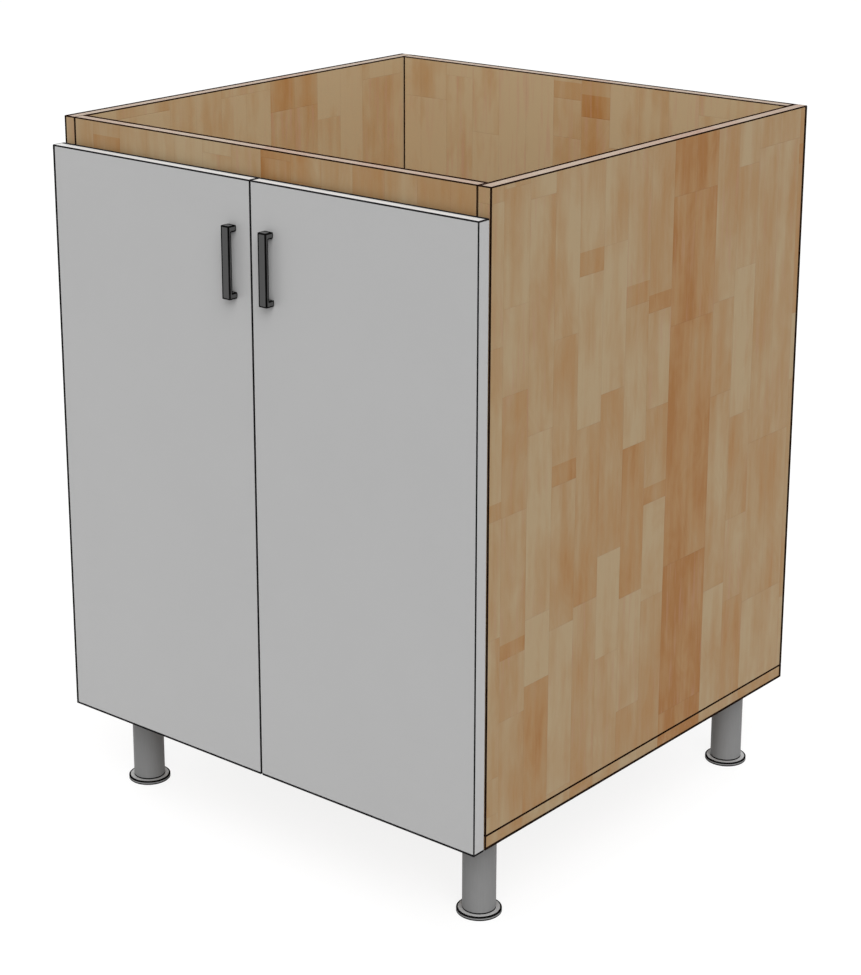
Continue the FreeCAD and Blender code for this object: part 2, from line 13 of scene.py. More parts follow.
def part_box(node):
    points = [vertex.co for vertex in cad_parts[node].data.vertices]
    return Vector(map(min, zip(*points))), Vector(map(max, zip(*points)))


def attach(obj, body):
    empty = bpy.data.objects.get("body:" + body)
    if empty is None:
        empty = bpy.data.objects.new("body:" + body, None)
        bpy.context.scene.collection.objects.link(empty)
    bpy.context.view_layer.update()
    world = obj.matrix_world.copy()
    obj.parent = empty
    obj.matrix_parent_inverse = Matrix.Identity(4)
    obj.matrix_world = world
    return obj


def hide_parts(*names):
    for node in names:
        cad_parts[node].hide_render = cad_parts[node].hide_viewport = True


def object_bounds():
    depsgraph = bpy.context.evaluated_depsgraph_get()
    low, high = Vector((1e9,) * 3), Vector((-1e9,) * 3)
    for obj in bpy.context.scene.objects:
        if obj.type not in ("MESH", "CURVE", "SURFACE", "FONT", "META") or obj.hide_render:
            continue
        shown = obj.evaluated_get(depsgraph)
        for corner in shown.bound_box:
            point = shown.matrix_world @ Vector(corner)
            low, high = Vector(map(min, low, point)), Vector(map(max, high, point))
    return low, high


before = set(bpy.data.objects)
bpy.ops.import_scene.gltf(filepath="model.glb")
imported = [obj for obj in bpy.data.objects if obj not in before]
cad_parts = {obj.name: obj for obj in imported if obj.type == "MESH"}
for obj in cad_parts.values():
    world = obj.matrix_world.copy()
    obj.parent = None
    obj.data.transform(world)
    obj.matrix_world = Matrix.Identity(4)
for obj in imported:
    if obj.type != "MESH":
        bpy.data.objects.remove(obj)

bl_info = {
    "name": "Sink base cabinet",
    "version": (1, 0, 0),
    "blender": (4, 5, 0),
    "location": "3D View > Sidebar > Cabinet",
    "description": "Makes the boards, doors, fittings and stage of a wooden sink base cabinet",
    "category": "Object",
}

MM = 0.001
SIDES = ("left", "right")
LEVELS = ("lower", "upper")
LEGS = ("front_left", "front_right", "rear_left", "rear_right")
FACE, END, ARRIS, BORE, BAND = range(5)     # material places of a board, door or handle
PHOTO_WIDTH, PHOTO_HEIGHT = 861, 975        # pixels
SLACK = 0.05 * MM           # between a bore and what it holds
HAIR = 0.01 * MM            # no strip is narrower, so that every outline keeps its points
UPRIGHT = (1.0, 1.0, 0.02)  # how brushed lines are stretched to run upwards

cad_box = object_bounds()


def srgb(red, green, blue):
    """The scene-linear colour of an 8-bit one."""
    return tuple(
        part / 12.92 if part <= 0.04045 else ((part + 0.055) / 1.055) ** 2.4
        for part in (value / 255 for value in (red, green, blue))
    )


def length(name, description, millimetres):
    return bpy.props.FloatProperty(
        name=name, description=description, default=millimetres * MM, min=0.0,
        precision=5, subtype="DISTANCE", unit="LENGTH",
    )


def share(name, description, default, highest=1.0):
    return bpy.props.FloatProperty(
        name=name, description=description, default=default, min=0.0, max=highest,
        subtype="FACTOR",
    )


def tint(name, description, *rgb):
    return bpy.props.FloatVectorProperty(
        name=name, description=description, default=srgb(*rgb), min=0.0, max=1.0, size=3,
        subtype="COLOR",
    )


class WoodSettings(bpy.types.PropertyGroup):
    """The edge-glued, finger-jointed panels."""

    stave_width: length("Stave width", "Width of the strips that a panel is glued up from", 42)
    piece_length: length("Piece length", "Usual length of the pieces in a strip", 150)
    heart_width: length("Heart width", "Reach of the heartwood band to each side", 50)
    pale: tint("Pale", "Colour of the lightest pieces", 168, 146, 113)
    honey: tint("Honey", "Colour of most pieces", 161, 130, 92)
    warm: tint("Warm", "Colour of the warmer pieces", 159, 121, 78)
    amber: tint("Amber", "Colour of the heartwood pieces", 151, 104, 55)
    blush: tint("Blush", "Colour of the reddish threads", 166, 127, 103)
    # The end tint is darker and greyer than real end grain: besides the end grain it holds painted
    # shade that offsets the strong light from above on the boards' top ends.
    end: tint("End grain", "Colour of the boards' ends", 109, 101, 103)
    bore: tint("Bores", "Colour of the wood inside bores", 138, 106, 72)
    ink: tint("Arris", "Colour of the thin eased edges", 26, 15, 9)
    arris: length("Arris", "How far each board's edges are eased", 0.45)
    strip: length("Strip", "Width of the dark strips beside the eased edges", 0.85)
    wide_strip: length("Wide strip", "Width of the strips at the far side of edges", 4.6)
    top_strip: length("Top strip", "Width of the strips at the far side of the top ends", 5.6)


class DoorSettings(bpy.types.PropertyGroup):
    """The two overlay doors."""

    face: tint("Face", "Colour of the laminate", 179, 179, 179)
    edge: tint("Edge band", "Colour of the upright edge bands", 179, 179, 179)
    # Painted shade: the top and bottom bands are the same band as the upright ones, painted a
    # little darker to offset the strong light from above on the doors' top edges.
    end: tint("End band", "Colour of the top and bottom edge bands", 174, 174, 174)
    ink: tint("Arris", "Colour of the thin eased edges", 26, 26, 27)
    core: tint("Core", "Colour of the board inside its bores", 150, 128, 100)
    arris: length("Arris", "How far each door's edges are eased", 0.4)
    strip: length("Strip", "Width of the dark strips beside the eased edges", 0.8)
    outer_strip: length("Outer strip", "Width of the strips at the far side of the faces", 3.2)
    lower_strip: length("Lower strip", "Width of the strips at the bottom of the faces", 2.3)
    top_strip: length("Top strip", "Width of the strips at the back of the end bands", 5.4)
    # Painted shade: dark strips on the doors' meeting edges stand in for the shadow in the gap
    # between the doors.
    meeting_strip: length("Meeting strip", "Width of the dark strips where the doors meet", 2.1)
    turning_edge: length("Turning edge", "Rounding of the back edge on the hinge side", 1.5)
    cup_radius: length("Cup bore radius", "Radius of the hinge cups' bores", 17.5)
    cup_from_edge: length("Cup from edge", "Door's outer edge to the middle of the cups", 20.5)
    cup_depth: length("Cup bore depth", "Depth of the hinge cups' bores", 13.6)


class HandleSettings(bpy.types.PropertyGroup):
    """The bow handles."""

    metal: tint("Metal", "Colour of the handles", 71, 71, 71)
    ink: tint("Arris", "Colour of the thin eased edges", 9, 9, 9)
    bar: length("Bar", "Thickness of the bar", 4.4)
    foot: length("Foot", "Height of each foot", 7)
    corner: length("Corner", "Rounding of the feet where they meet the door", 1.6)
    inner_corner: length("Inner corner", "Rounding inside the bow", 0.9)
    arris: length("Arris", "How far the edges are eased", 0.5)
    strip: length("Strip", "Width of the dark strips beside the eased edges", 1.05)
    outer_strip: length("Outer strip", "Width of the strips at the far side and bottom", 1.6)


class LegSettings(bpy.types.PropertyGroup):
    """The round legs and their levelling feet."""

    # The tube colour is painted a little lighter than the tubes' own grey: painted light that
    # offsets the shade under the cabinet.
    metal: tint("Tube", "Colour of the tubes", 133, 133, 133)
    disc: tint("Disc", "Colour of the foot discs", 138, 138, 138)
    # Painted light: the discs' tops are painted much lighter than their sides, standing in for
    # light on the tops, which lie in shade under the cabinet.
    top: tint("Disc top", "Colour of the discs' turned tops", 182, 182, 182)
    ink: tint("Rim", "Colour of the discs' eased rims and of the end rings", 14, 14, 14)
    rubber: tint("Sole", "Colour of the soles", 38, 38, 39)
    wall: length("Tube wall", "Wall of the tube", 1.5)
    edge: length("Tube edge", "How far the edges of the tubes are eased", 0.3)
    # The end ring is the lip of the real plastic insert, left showing below the tube in near-black:
    # in part it is painted shade, standing in for the shadow line where the tube meets the disc.
    end_ring: length("End ring", "Height of the plastic ring that shows under the tube", 1.5)
    arris: length("Rim", "How far the rims of the discs are eased", 0.5)
    strip: length("Rim strip", "Width of the dark strips beside the discs' rims", 1.0)
    pitch: length("Thread pitch", "Pitch of the spindle's thread", 1.5)
    thread: length("Thread depth", "Depth of the spindle's thread", 0.7)


class FittingSettings(bpy.types.PropertyGroup):
    """Screws, cams, pads, dowels and hinges."""

    steel: tint("Nickel", "Colour of the hinges", 150, 148, 145)
    zinc: tint("Zinc", "Colour of the screws", 168, 170, 174)
    casting: tint("Casting", "Colour of the cams", 140, 141, 143)
    pad: tint("Pads", "Colour of the door pads", 120, 120, 121)
    dowel: tint("Dowels", "Colour of the wooden dowels", 176, 142, 100)
    recess: share("Recess", "Reach of a screw's cross recess, of the head's radius", 0.55)
    easing: length("Easing", "How far the hinge parts' edges are eased", 0.25)


class StageSettings(bpy.types.PropertyGroup):
    """Floor, lamps and surroundings."""

    floor_size: length("Floor", "Side of the square floor", 60000)
    ambient: share("Ambient", "Light from all round", 0.60, 2.0)
    key: share("Key", "Light from the camera's side", 0.75, 4.0)
    fill: share("Fill", "Light from behind", 0.25, 4.0)
    top: share("Top", "Light of the lamp over the open top", 1.08, 4.0)
    bounce: share("Bounce", "Share of the light that the floor throws back", 0.43)


# Meshes

def moved_in(corners, distances):
    """A polygon with each of its edges moved inwards by a distance of its own."""
    count = len(corners)
    lines = []
    for i in range(count):
        along = (corners[(i + 1) % count] - corners[i]).normalized()
        lines.append((corners[i] + Vector((-along.y, along.x)) * distances[i], along))
    points = []
    for i in range(count):
        (first, d), (second, e) = lines[i - 1], lines[i]
        reach = (second - first).cross(e) / d.cross(e)
        points.append(first + d * reach)
    return points


def eased(corners, cuts, depth=0.0, extra=()):
    """A closed anticlockwise outline with its right-angled corners cut or rounded.

    cuts gives (reach, steps, before, after) for each corner: one step is a flat cut, and before
    and after are the dark strips beside it. depth moves every edge inwards, and extra some of them
    more. Returns the points, and for each the material place of the edge that starts there.
    """
    shrink = 0.6        # how much a cut loses as the outline moves in
    extra = extra or [0.0] * len(corners)
    sharp = moved_in([Vector(corner) for corner in corners], [depth + more for more in extra])
    points, kinds = [], []
    count = len(sharp)
    for i, corner in enumerate(sharp):
        reach, steps, before, after = cuts[i]
        coming = (corner - sharp[i - 1]).normalized()
        leaving = (sharp[(i + 1) % count] - corner).normalized()
        if (depth or any(extra)) and coming.cross(leaving) > 0:
            reach = max(2 * HAIR, reach - depth * shrink - max(extra[i], extra[i - 1]))
        centre = corner - coming * reach + leaving * reach
        points.append(corner - coming * (reach + max(before, HAIR)))
        kinds.append(ARRIS if before else FACE)
        inked = steps == 1 or (before > 0 and after > 0)
        for step in range(steps + 1):
            turn = math.pi / 2 * step / steps
            side, ahead = leaving * math.cos(turn), coming * math.sin(turn)
            points.append(centre + (ahead - side) * reach)
            kinds.append(ARRIS if inked else FACE)
        kinds[-1] = ARRIS if after else FACE
        points.append(corner + leaving * (reach + max(after, HAIR)))
        kinds.append(FACE)
    return points, kinds


def placed(axis, point, along):
    """A point of an outline, at a distance along an axis."""
    a, b = point
    return {"X": (along, a, b), "Y": (b, along, a), "Z": (a, b, along)}[axis]


def extruded(corners, cuts, axis, start, end, rim, strips, margins):
    """A solid of one outline along an axis, with both of its end rims cut at 45 degrees.

    strips gives the dark strips beside the rims at the start and at the end, and margins those on
    the end faces, for each edge of the outline.
    """
    full, kinds = eased(corners, cuts)
    narrow, inner = eased(corners, cuts, rim)[0], eased(corners, cuts, rim, margins)[0]
    first, last = (max(strip, HAIR) for strip in strips)
    rings = [
        (inner, start), (narrow, start), (full, start + rim), (full, start + rim + first),
        (full, end - rim - last), (full, end - rim), (narrow, end), (inner, end),
    ]
    dark = [any(margins), True, strips[0] > 0, False, strips[1] > 0, True, any(margins)]
    shape = bmesh.new()
    loops = [[shape.verts.new(placed(axis, p, along)) for p in ring] for ring, along in rings]
    count = len(full)
    for k, is_dark in enumerate(dark):
        lower, upper = loops[k], loops[k + 1]
        for i in range(count):
            j = (i + 1) % count
            face = shape.faces.new((lower[i], lower[j], upper[j], upper[i]))
            plain = END if k in (0, len(dark) - 1) else kinds[i]
            face.material_index = ARRIS if is_dark else plain
    for loop in (loops[0][::-1], loops[-1]):
        shape.faces.new(loop).material_index = END
    return shape


def turned(name, outline, kinds, centre, segments=64):
    """The mesh of a solid of revolution about a vertical line.

    outline holds (radius, height) points, anticlockwise, and kinds their material places.
    """
    shape = bmesh.new()
    rings = []
    for radius, height in outline:
        turns = 1 if radius < 1e-7 else segments
        rings.append([
            shape.verts.new((
                centre[0] + radius * math.cos(2 * math.pi * k / segments),
                centre[1] + radius * math.sin(2 * math.pi * k / segments),
                height,
            ))
            for k in range(turns)
        ])
    for i, ring in enumerate(rings):
        after = rings[(i + 1) % len(rings)]
        if len(ring) == len(after) == 1:
            continue
        for k in range(segments):
            m = (k + 1) % segments
            around = (ring, k), (ring, m), (after, m), (after, k)
            corners = dict.fromkeys(ends[j % len(ends)] for ends, j in around)
            shape.faces.new(corners).material_index = kinds[i]
    mesh = finished_mesh(name, shape)
    smooth(mesh)
    return mesh


def drum(shape, axis, centre, radius, start, end, radius_end=None, segments=32):
    """Adds a closed cylinder, or a cone with radius_end, along an axis to shape."""
    loops = []
    for size, along in ((radius, start), (radius_end or radius, end)):
        ring = [
            (centre[0] + size * math.cos(2 * math.pi * k / segments),
             centre[1] + size * math.sin(2 * math.pi * k / segments))
            for k in range(segments)
        ]
        loops.append([shape.verts.new(placed(axis, p, along)) for p in ring])
    lower, upper = loops
    faces = [
        shape.faces.new((lower[k], lower[(k + 1) % segments], upper[(k + 1) % segments], upper[k]))
        for k in range(segments)
    ]
    faces += [shape.faces.new(lower[::-1]), shape.faces.new(upper)]
    for face in faces:
        face.material_index = BORE


def finished_mesh(name, shape):
    """The mesh of a closed bmesh, facing outwards."""
    bmesh.ops.recalc_face_normals(shape, faces=shape.faces)
    mesh = bpy.data.meshes.new(name)
    shape.to_mesh(mesh)
    shape.free()
    return mesh


def smooth(mesh, sharp_from=35):
    """Shades round faces smooth and leaves edges that are sharper than an angle in degrees."""
    for polygon in mesh.polygons:
        polygon.use_smooth = True
    mesh.set_sharp_from_angle(angle=math.radians(sharp_from))


def shown(name, mesh, materials, body, node):
    """Shows a mesh as a piece that rides on a body and stands for a CAD node."""
    piece = bpy.data.objects.new(name, mesh)
    bpy.context.scene.collection.objects.link(piece)
    for i, material in enumerate(materials):
        if i < len(mesh.materials):
            mesh.materials[i] = material
        else:
            mesh.materials.append(material)
    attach(piece, body)
    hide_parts(node)


def bored(name, shape, cutters, materials):
    """The mesh of a shape with the cutters taken away."""
    blank = bpy.data.objects.new(name + "_blank", finished_mesh(name, shape))
    tool = bpy.data.objects.new(name + "_tool", finished_mesh(name + "_tool", cutters))
    for item in (blank, tool):
        bpy.context.scene.collection.objects.link(item)
        for material in materials:
            item.data.materials.append(material)
    boring = blank.modifiers.new("bores", "BOOLEAN")
    boring.operation = "DIFFERENCE"
    boring.solver = "EXACT"
    boring.use_self = True
    boring.object = tool
    depsgraph = bpy.context.evaluated_depsgraph_get()
    evaluated = blank.evaluated_get(depsgraph)
    result = bpy.data.meshes.new_from_object(evaluated, depsgraph=depsgraph)
    for item in (blank, tool):
        spare = item.data
        bpy.data.objects.remove(item)
        bpy.data.meshes.remove(spare)
    if not result.polygons:
        raise RuntimeError(f"boring {name} left nothing")
    result.name = name
    smooth(result)
    return result


def solids_of(node):
    """(lowest corner, highest corner) of each separate solid of a CAD node."""
    copy = bmesh.new()
    copy.from_mesh(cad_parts[node].data)
    bmesh.ops.remove_doubles(copy, verts=copy.verts, dist=1e-7)
    left = set(copy.verts)
    boxes = []
    while left:
        group, edge = set(), [left.pop()]
        while edge:
            vertex = edge.pop()
            group.add(vertex)
            near = {e.other_vert(vertex) for e in vertex.link_edges} & left
            left -= near
            edge.extend(near)
        places = [v.co.copy() for v in group]
        boxes.append((
            Vector([min(p[i] for p in places) for i in range(3)]),
            Vector([max(p[i] for p in places) for i in range(3)]),
        ))
    copy.free()
    return sorted(boxes, key=lambda box: tuple(round(c, 5) for c in box[0]))


# Nodes

def working(operation, turned_round=False):
    """A method of Reading that adds a Math node."""
    def method(self, other=0.0):
        return self.wire.math(operation, *((other, self) if turned_round else (self, other)))
    return method


class Reading:
    """What a node puts out. Arithmetic on it adds the nodes that work it out."""

    def __init__(self, wire, socket):
        self.wire = wire
        self.socket = socket

    __add__ = __radd__ = working("ADD")
    __mul__ = __rmul__ = working("MULTIPLY")
    __sub__, __rsub__ = working("SUBTRACT"), working("SUBTRACT", True)
    __truediv__ = working("DIVIDE")
    __mod__ = working("FLOORED_MODULO")
    __lt__, __gt__ = working("LESS_THAN"), working("GREATER_THAN")
    __abs__ = working("ABSOLUTE")
    least, most = working("MINIMUM"), working("MAXIMUM")
    whole, rest = working("FLOOR"), working("FRACT")
    root, sine, angle_to = working("SQRT"), working("SINE"), working("ARCTAN2")

    def level(self, low, high, new_low, new_high):
        """This number from one range to another, held inside the new one."""
        inputs = {0: self, 1: low, 2: high, 3: new_low, 4: new_high}
        return self.wire.read("ShaderNodeMapRange", inputs)


class Wiring:
    """Adds nodes to a tree. What a node puts out is linked, and any other value is set."""

    def __init__(self, tree):
        self.tree = tree

    def add(self, kind, inputs=None, **settings):
        node = self.tree.nodes.new(kind)
        for name, value in settings.items():
            setattr(node, name, value)
        for key, value in (inputs or {}).items():
            self.give(node.inputs[key], value)
        return node

    def give(self, socket, value):
        if isinstance(value, bpy.types.Node):
            value = value.outputs[0]
        if isinstance(value, Reading):
            value = value.socket
        if isinstance(value, bpy.types.NodeSocket):
            self.tree.links.new(value, socket)
        else:
            socket.default_value = value

    def read(self, kind, inputs=None, output=0, **settings):
        """One output of a new node, the first where none is named."""
        return Reading(self, self.add(kind, inputs, **settings).outputs[output])

    def readings(self, node):
        """All that a node puts out, by name."""
        return {socket.name: Reading(self, socket) for socket in node.outputs}

    def math(self, operation, *values):
        return self.read("ShaderNodeMath", dict(enumerate(values)), operation=operation)

    def blend(self, factor, first, second, mode="MIX"):
        inputs = {0: factor, 6: rgba(first), 7: rgba(second)}
        return self.read("ShaderNodeMix", inputs, 2, data_type="RGBA", blend_type=mode)

    def vector(self, x, y, z):
        return self.read("ShaderNodeCombineXYZ", {0: x, 1: y, 2: z})

    def split(self, vector):
        node = self.add("ShaderNodeSeparateXYZ", {0: vector})
        return [Reading(self, socket) for socket in node.outputs]

    def noise(self, vector, scale, detail=2.0, roughness=0.5):
        inputs = {"Vector": vector, "Scale": scale, "Detail": detail, "Roughness": roughness}
        return self.read("ShaderNodeTexNoise", inputs)

    def chance(self, x, y, z):
        """A number from 0 to 1 that three numbers always draw alike."""
        inputs = {"Vector": self.vector(x, y, z)}
        return self.read("ShaderNodeTexWhiteNoise", inputs, noise_dimensions="3D")

    def ramp(self, factor, stops):
        node = self.add("ShaderNodeValToRGB", {0: factor})
        elements = node.color_ramp.elements
        while len(elements) < len(stops):
            elements.new(0.5)
        for element, (position, colour) in zip(elements, stops):
            element.position = position
            element.color = rgba(colour)
        return Reading(self, node.outputs[0])

    def group(self, build, inputs):
        """What the group that a function builds puts out, placed here with its own values."""
        return self.readings(self.add("ShaderNodeGroup", inputs, node_tree=shared(build)))


def rgba(colour):
    return colour if isinstance(colour, Reading) or len(colour) == 4 else (*colour, 1.0)


def new_group(name, inputs, outputs):
    """A shader node group of numbers: its wiring, what it is given, and what it puts out."""
    group = bpy.data.node_groups.new(name, "ShaderNodeTree")
    for title, default in inputs.items():
        kind = "NodeSocketVector" if isinstance(default, tuple) else "NodeSocketFloat"
        socket = group.interface.new_socket(title, in_out="INPUT", socket_type=kind)
        socket.default_value = default
    for title in outputs:
        group.interface.new_socket(title, in_out="OUTPUT", socket_type="NodeSocketFloat")
    wire = Wiring(group)
    return wire, wire.readings(wire.add("NodeGroupInput")), wire.add("NodeGroupOutput").inputs


def shared(build):
    """The group or tree that a function builds, made once."""
    return bpy.data.node_groups.get(build.__name__) or build(build.__name__)


def cells(place, row, seed, spread):
    """Cells along place whose borders stand at random.

    Gives the cell's number, the distance to the nearest border and, near a cell's start, the
    distance from there.
    """
    far = 9.0       # added to the distance from a start that lies ahead
    cell, inside = place.whole(), place.rest()
    first, last = (
        (place.wire.chance(cell + step, row, seed) - 0.5) * spread for step in (0.0, 1.0)
    )
    past_first, past_last = inside - first, inside - 1.0 - last
    number = cell - (past_first < 0.0) + (past_last > 0.0)
    nearest = abs(past_first).least(abs(past_last))
    first_gap, last_gap = ((past < 0.0) * far + past for past in (past_first, past_last))
    return number, nearest, first_gap.least(last_gap)


def jointed_staves(name):
    """Which piece of a glued-up panel a point lies in, and how near it is to a glue line."""
    wire, given, out = new_group(
        name,
        {"Across": 0.0, "Along": 0.0, "Stave Width": 0.042, "Piece Length": 0.15, "Seed": 0.0,
         "Heart Centre": 10.0, "Heart Width": 0.05, "Dark Pieces": 0.3},
        ("Tone", "Lean", "Shift", "Glue Line"),
    )
    first_strip = 0.044         # metres that the strips are moved across
    single_share = 0.45         # of the strips, where two side by side don't look like one
    strip_usual = (0.75, 1.45)  # a strip's own usual piece length, of the panel's
    unevenness = 0.8            # how far a piece's ends may stray, of its length
    tones = (0.11, 0.42)        # the palest piece's tone, and the reach of the others' above it
    heart_edge = (0.45, 1.0)    # where the heartwood starts to fade and ends, in its own width
    heart_tones = (0.62, 0.42)  # what it adds to the palest and to the darkest piece
    rare_draws = (0.93, 0.98)   # the draws of tone that make a dark piece outside it
    resin_from, resin_length, resin_tone = 0.82, 0.021, 0.34    # a draw, metres, and a tone
    glue_width = (0.0001, 0.0006)
    seed, width, usual = given["Seed"], given["Stave Width"], given["Piece Length"]

    # The fixed numbers inside chance() only keep its draws apart.
    place = (given["Across"] + first_strip) / width
    strip = place.whole()
    odd = strip % 2.0
    paired = wire.chance(strip - odd, 9.0, seed) > single_share
    stave = strip - odd * paired
    start = wire.chance(stave, 3.0, seed) * 31.0
    stretch = wire.chance(stave, 5.0, seed).level(0.0, 1.0, *strip_usual)
    run = given["Along"] / (usual * stretch) + start
    piece, piece_border, from_start = cells(run, stave, seed, unevenness)

    tone = wire.chance(stave, piece, seed)
    middle = (stave + (paired * 0.5 + 0.5)) * width - first_strip
    away = abs(middle - given["Heart Centre"]) / given["Heart Width"]
    heart = away.level(*heart_edge, 1.0, 0.0) * tone.level(0.0, 1.0, *heart_tones)
    rare = tone.level(*rare_draws, 0.0, 1.0) * given["Dark Pieces"]
    resin = from_start * usual < resin_length
    chosen = wire.chance(piece, stave, seed + 17.0) - paired > resin_from
    whole = tone * tones[1] + heart.most(rare) + resin * chosen * resin_tone
    wire.give(out["Tone"], whole + tones[0])
    wire.give(out["Lean"], wire.chance(piece, stave, seed + 11.0))
    wire.give(out["Shift"], wire.chance(stave, piece, 23.0) * 40.0)

    inside = place.rest()
    line = (inside.least(1.0 - inside) * width).least(piece_border * usual)
    wire.give(out["Glue Line"], line.level(*glue_width, 1.0, 0.0))
    return wire.tree


def wood_figure(name):
    """Streaks, growth lines and fibres that run along the grain and break at each piece."""
    wire, given, out = new_group(
        name,
        {"Across": 0.0, "Depth": 0.0, "Along": 0.0, "Shift": 0.0},
        ("Clouds", "Bands", "Streaks", "Growth", "Threads", "Fibre"),
    )

    def figure(across, depth, along, detail=2.0, roughness=0.5):
        """Noise of so many waves to the metre each way."""
        place = wire.vector(
            given["Across"] * across + given["Shift"],
            given["Depth"] * depth,
            given["Along"] * along + given["Shift"],
        )
        return wire.noise(place, 1.0, detail, roughness)

    wire.give(out["Clouds"], figure(22.0, 14.0, 11.0, 3.0, 0.55))
    wire.give(out["Bands"], figure(48.0, 30.0, 4.5))
    wire.give(out["Streaks"], figure(135.0, 90.0, 8.0))
    # 70 growth lines to the metre, bent by noise
    rings = figure(14.0, 6.0, 6.0) * 16.0 + given["Across"] * 70.0 + given["Shift"] * 3.0
    wire.give(out["Growth"], (rings * (2 * math.pi)).sine().level(-1.0, 1.0, 0.0, 1.0))
    wire.give(out["Threads"], figure(230.0, 200.0, 14.0).level(0.54, 0.68, 0.0, 1.0))
    wire.give(out["Fibre"], figure(900.0, 500.0, 45.0, 2.0, 0.6))
    return wire.tree


def fine_surface(name):
    """Cloudiness, grit and hairline scratches of a finished surface."""
    wire, given, out = new_group(
        name,
        {"Vector": (0.0, 0.0, 0.0), "Cloud Scale": 12.0, "Grit Scale": 1400.0,
         "Scratch Scale": 60.0},
        ("Clouds", "Grit", "Scratches"),
    )
    wire.give(out["Clouds"], wire.noise(given["Vector"], given["Cloud Scale"], 4.0, 0.55))
    wire.give(out["Grit"], wire.noise(given["Vector"], given["Grit Scale"], 2.0, 0.6))
    slanting = wire.read("ShaderNodeMapping", {
        "Vector": given["Vector"], "Rotation": (0.6, 0.9, 0.4), "Scale": (1.0, 9.0, 1.0),
    })
    lines = wire.noise(slanting, given["Scratch Scale"], 5.0, 0.7)
    wire.give(out["Scratches"], abs(lines - 0.5).level(0.0, 0.012, 1.0, 0.0))
    return wire.tree


def brushed_lines(name):
    """Fine lines that run one way, as brushing or drawing leaves them."""
    inputs = {"Vector": (0.0, 0.0, 0.0), "Stretch": UPRIGHT}
    wire, given, out = new_group(name, inputs, ("Lines",))
    drawn = wire.read(
        "ShaderNodeVectorMath", {0: given["Vector"], 1: given["Stretch"]}, operation="MULTIPLY"
    )
    wire.give(out["Lines"], wire.noise(drawn, 2600.0, 3.0, 0.6))
    return wire.tree


def new_material(name, metallic=0.0):
    """An empty material: its wiring, its shader, and the object coordinates."""
    material = bpy.data.materials.new(name)
    material.use_nodes = True
    material.node_tree.nodes.clear()
    wire = Wiring(material.node_tree)
    shader = wire.add("ShaderNodeBsdfPrincipled", {"Metallic": metallic})
    wire.add("ShaderNodeOutputMaterial", {"Surface": shader}, is_active_output=True)
    return material, wire, shader, wire.read("ShaderNodeTexCoord", output="Object")


def coat(wire, shader, colour, rough, specular, height=None, distance=0.0, strength=1.0):
    """Gives a shader its colour, roughness and specular level, and a bump of a height in metres."""
    wire.give(shader.inputs["Base Color"], colour)
    wire.give(shader.inputs["Roughness"], rough)
    shader.inputs["Specular IOR Level"].default_value = specular
    if height:
        raised = {"Strength": strength, "Distance": distance, "Height": height}
        wire.give(shader.inputs["Normal"], wire.add("ShaderNodeBump", raised))


def shades(colour, spread):
    """A darker and a lighter shade of a colour."""
    return [tuple(min(1.0, c * (1 + sign * spread)) for c in colour) for sign in (-1, 1)]


def wood_material(name, across, along, seed, heart, dark, shade_lift, ends=False):
    """Jointed wood whose strips run along one axis and lie side by side along another."""
    wood = bpy.context.scene.cabinet_wood
    material, wire, shader, place = new_material(name)
    axes = dict(zip("XYZ", wire.split(place)))
    depth = axes[({"X", "Y", "Z"} - {across, along}).pop()]
    staves = wire.group(jointed_staves, {
        "Across": axes[across], "Along": axes[along], "Stave Width": wood.stave_width,
        "Piece Length": wood.piece_length, "Seed": seed, "Heart Centre": heart,
        "Heart Width": wood.heart_width, "Dark Pieces": dark,
    })
    figure = wire.group(wood_figure, {
        "Across": axes[across], "Depth": depth, "Along": axes[along], "Shift": staves["Shift"],
    })
    # how far each figure swings the tone, and the tones at which the wood has its four colours
    weights = {"Clouds": 1.15, "Bands": 1.0, "Streaks": 0.36, "Growth": 0.05, "Fibre": 0.12}
    stops = [(0.0, wood.pale), (0.42, wood.honey), (0.70, wood.warm), (1.0, wood.amber)]
    # Every piece is made lighter by the lift: painted light against the shade inside the carcass,
    # on the boards whose inner faces show.
    tone = staves["Tone"] - shade_lift
    for part, weight in weights.items():
        tone = (figure[part] - 0.5) * weight + tone
    tone = tone.least(1.0).most(0.0)
    reddish = figure["Threads"] * staves["Lean"].level(0.5, 1.0, 0.10, 0.45)
    colour = wire.blend(reddish, wire.ramp(tone, stops), wood.blush)
    # End faces get end-grain rings blended toward the end tint, which also paints shade on the top
    # ends against the light from above.
    if ends:
        rings = depth * 2600.0 + figure["Bands"] * 9.0      # 2.4 mm apart, and wavy
        colour = wire.blend(rings.sine().level(-1.0, 1.0, 0.5, 0.7), colour, wood.end)
    glue = staves["Glue Line"]
    colour = wire.blend(glue * 0.12, colour, wood.amber, "MULTIPLY")
    rough = figure["Fibre"].level(0.3, 0.7, 0.50, 0.64)
    height = figure["Fibre"] - glue
    coat(wire, shader, colour, rough, 0.12 if ends else 0.25, height, 0.12 * MM, 0.5)
    return material


def ink_material(name, colour):
    """The dark line of an eased edge, a little worn."""
    material, wire, shader, place = new_material(name)
    surface = wire.group(fine_surface, {"Vector": place, "Cloud Scale": 60.0})
    worn = tuple(min(1.0, c * 1.9 + 0.004) for c in colour)
    shade = wire.blend(surface["Clouds"].level(0.45, 0.7, 0.0, 1.0), colour, worn)
    coat(wire, shader, shade, surface["Grit"].level(0.3, 0.7, 0.75, 0.9), 0.0)
    return material


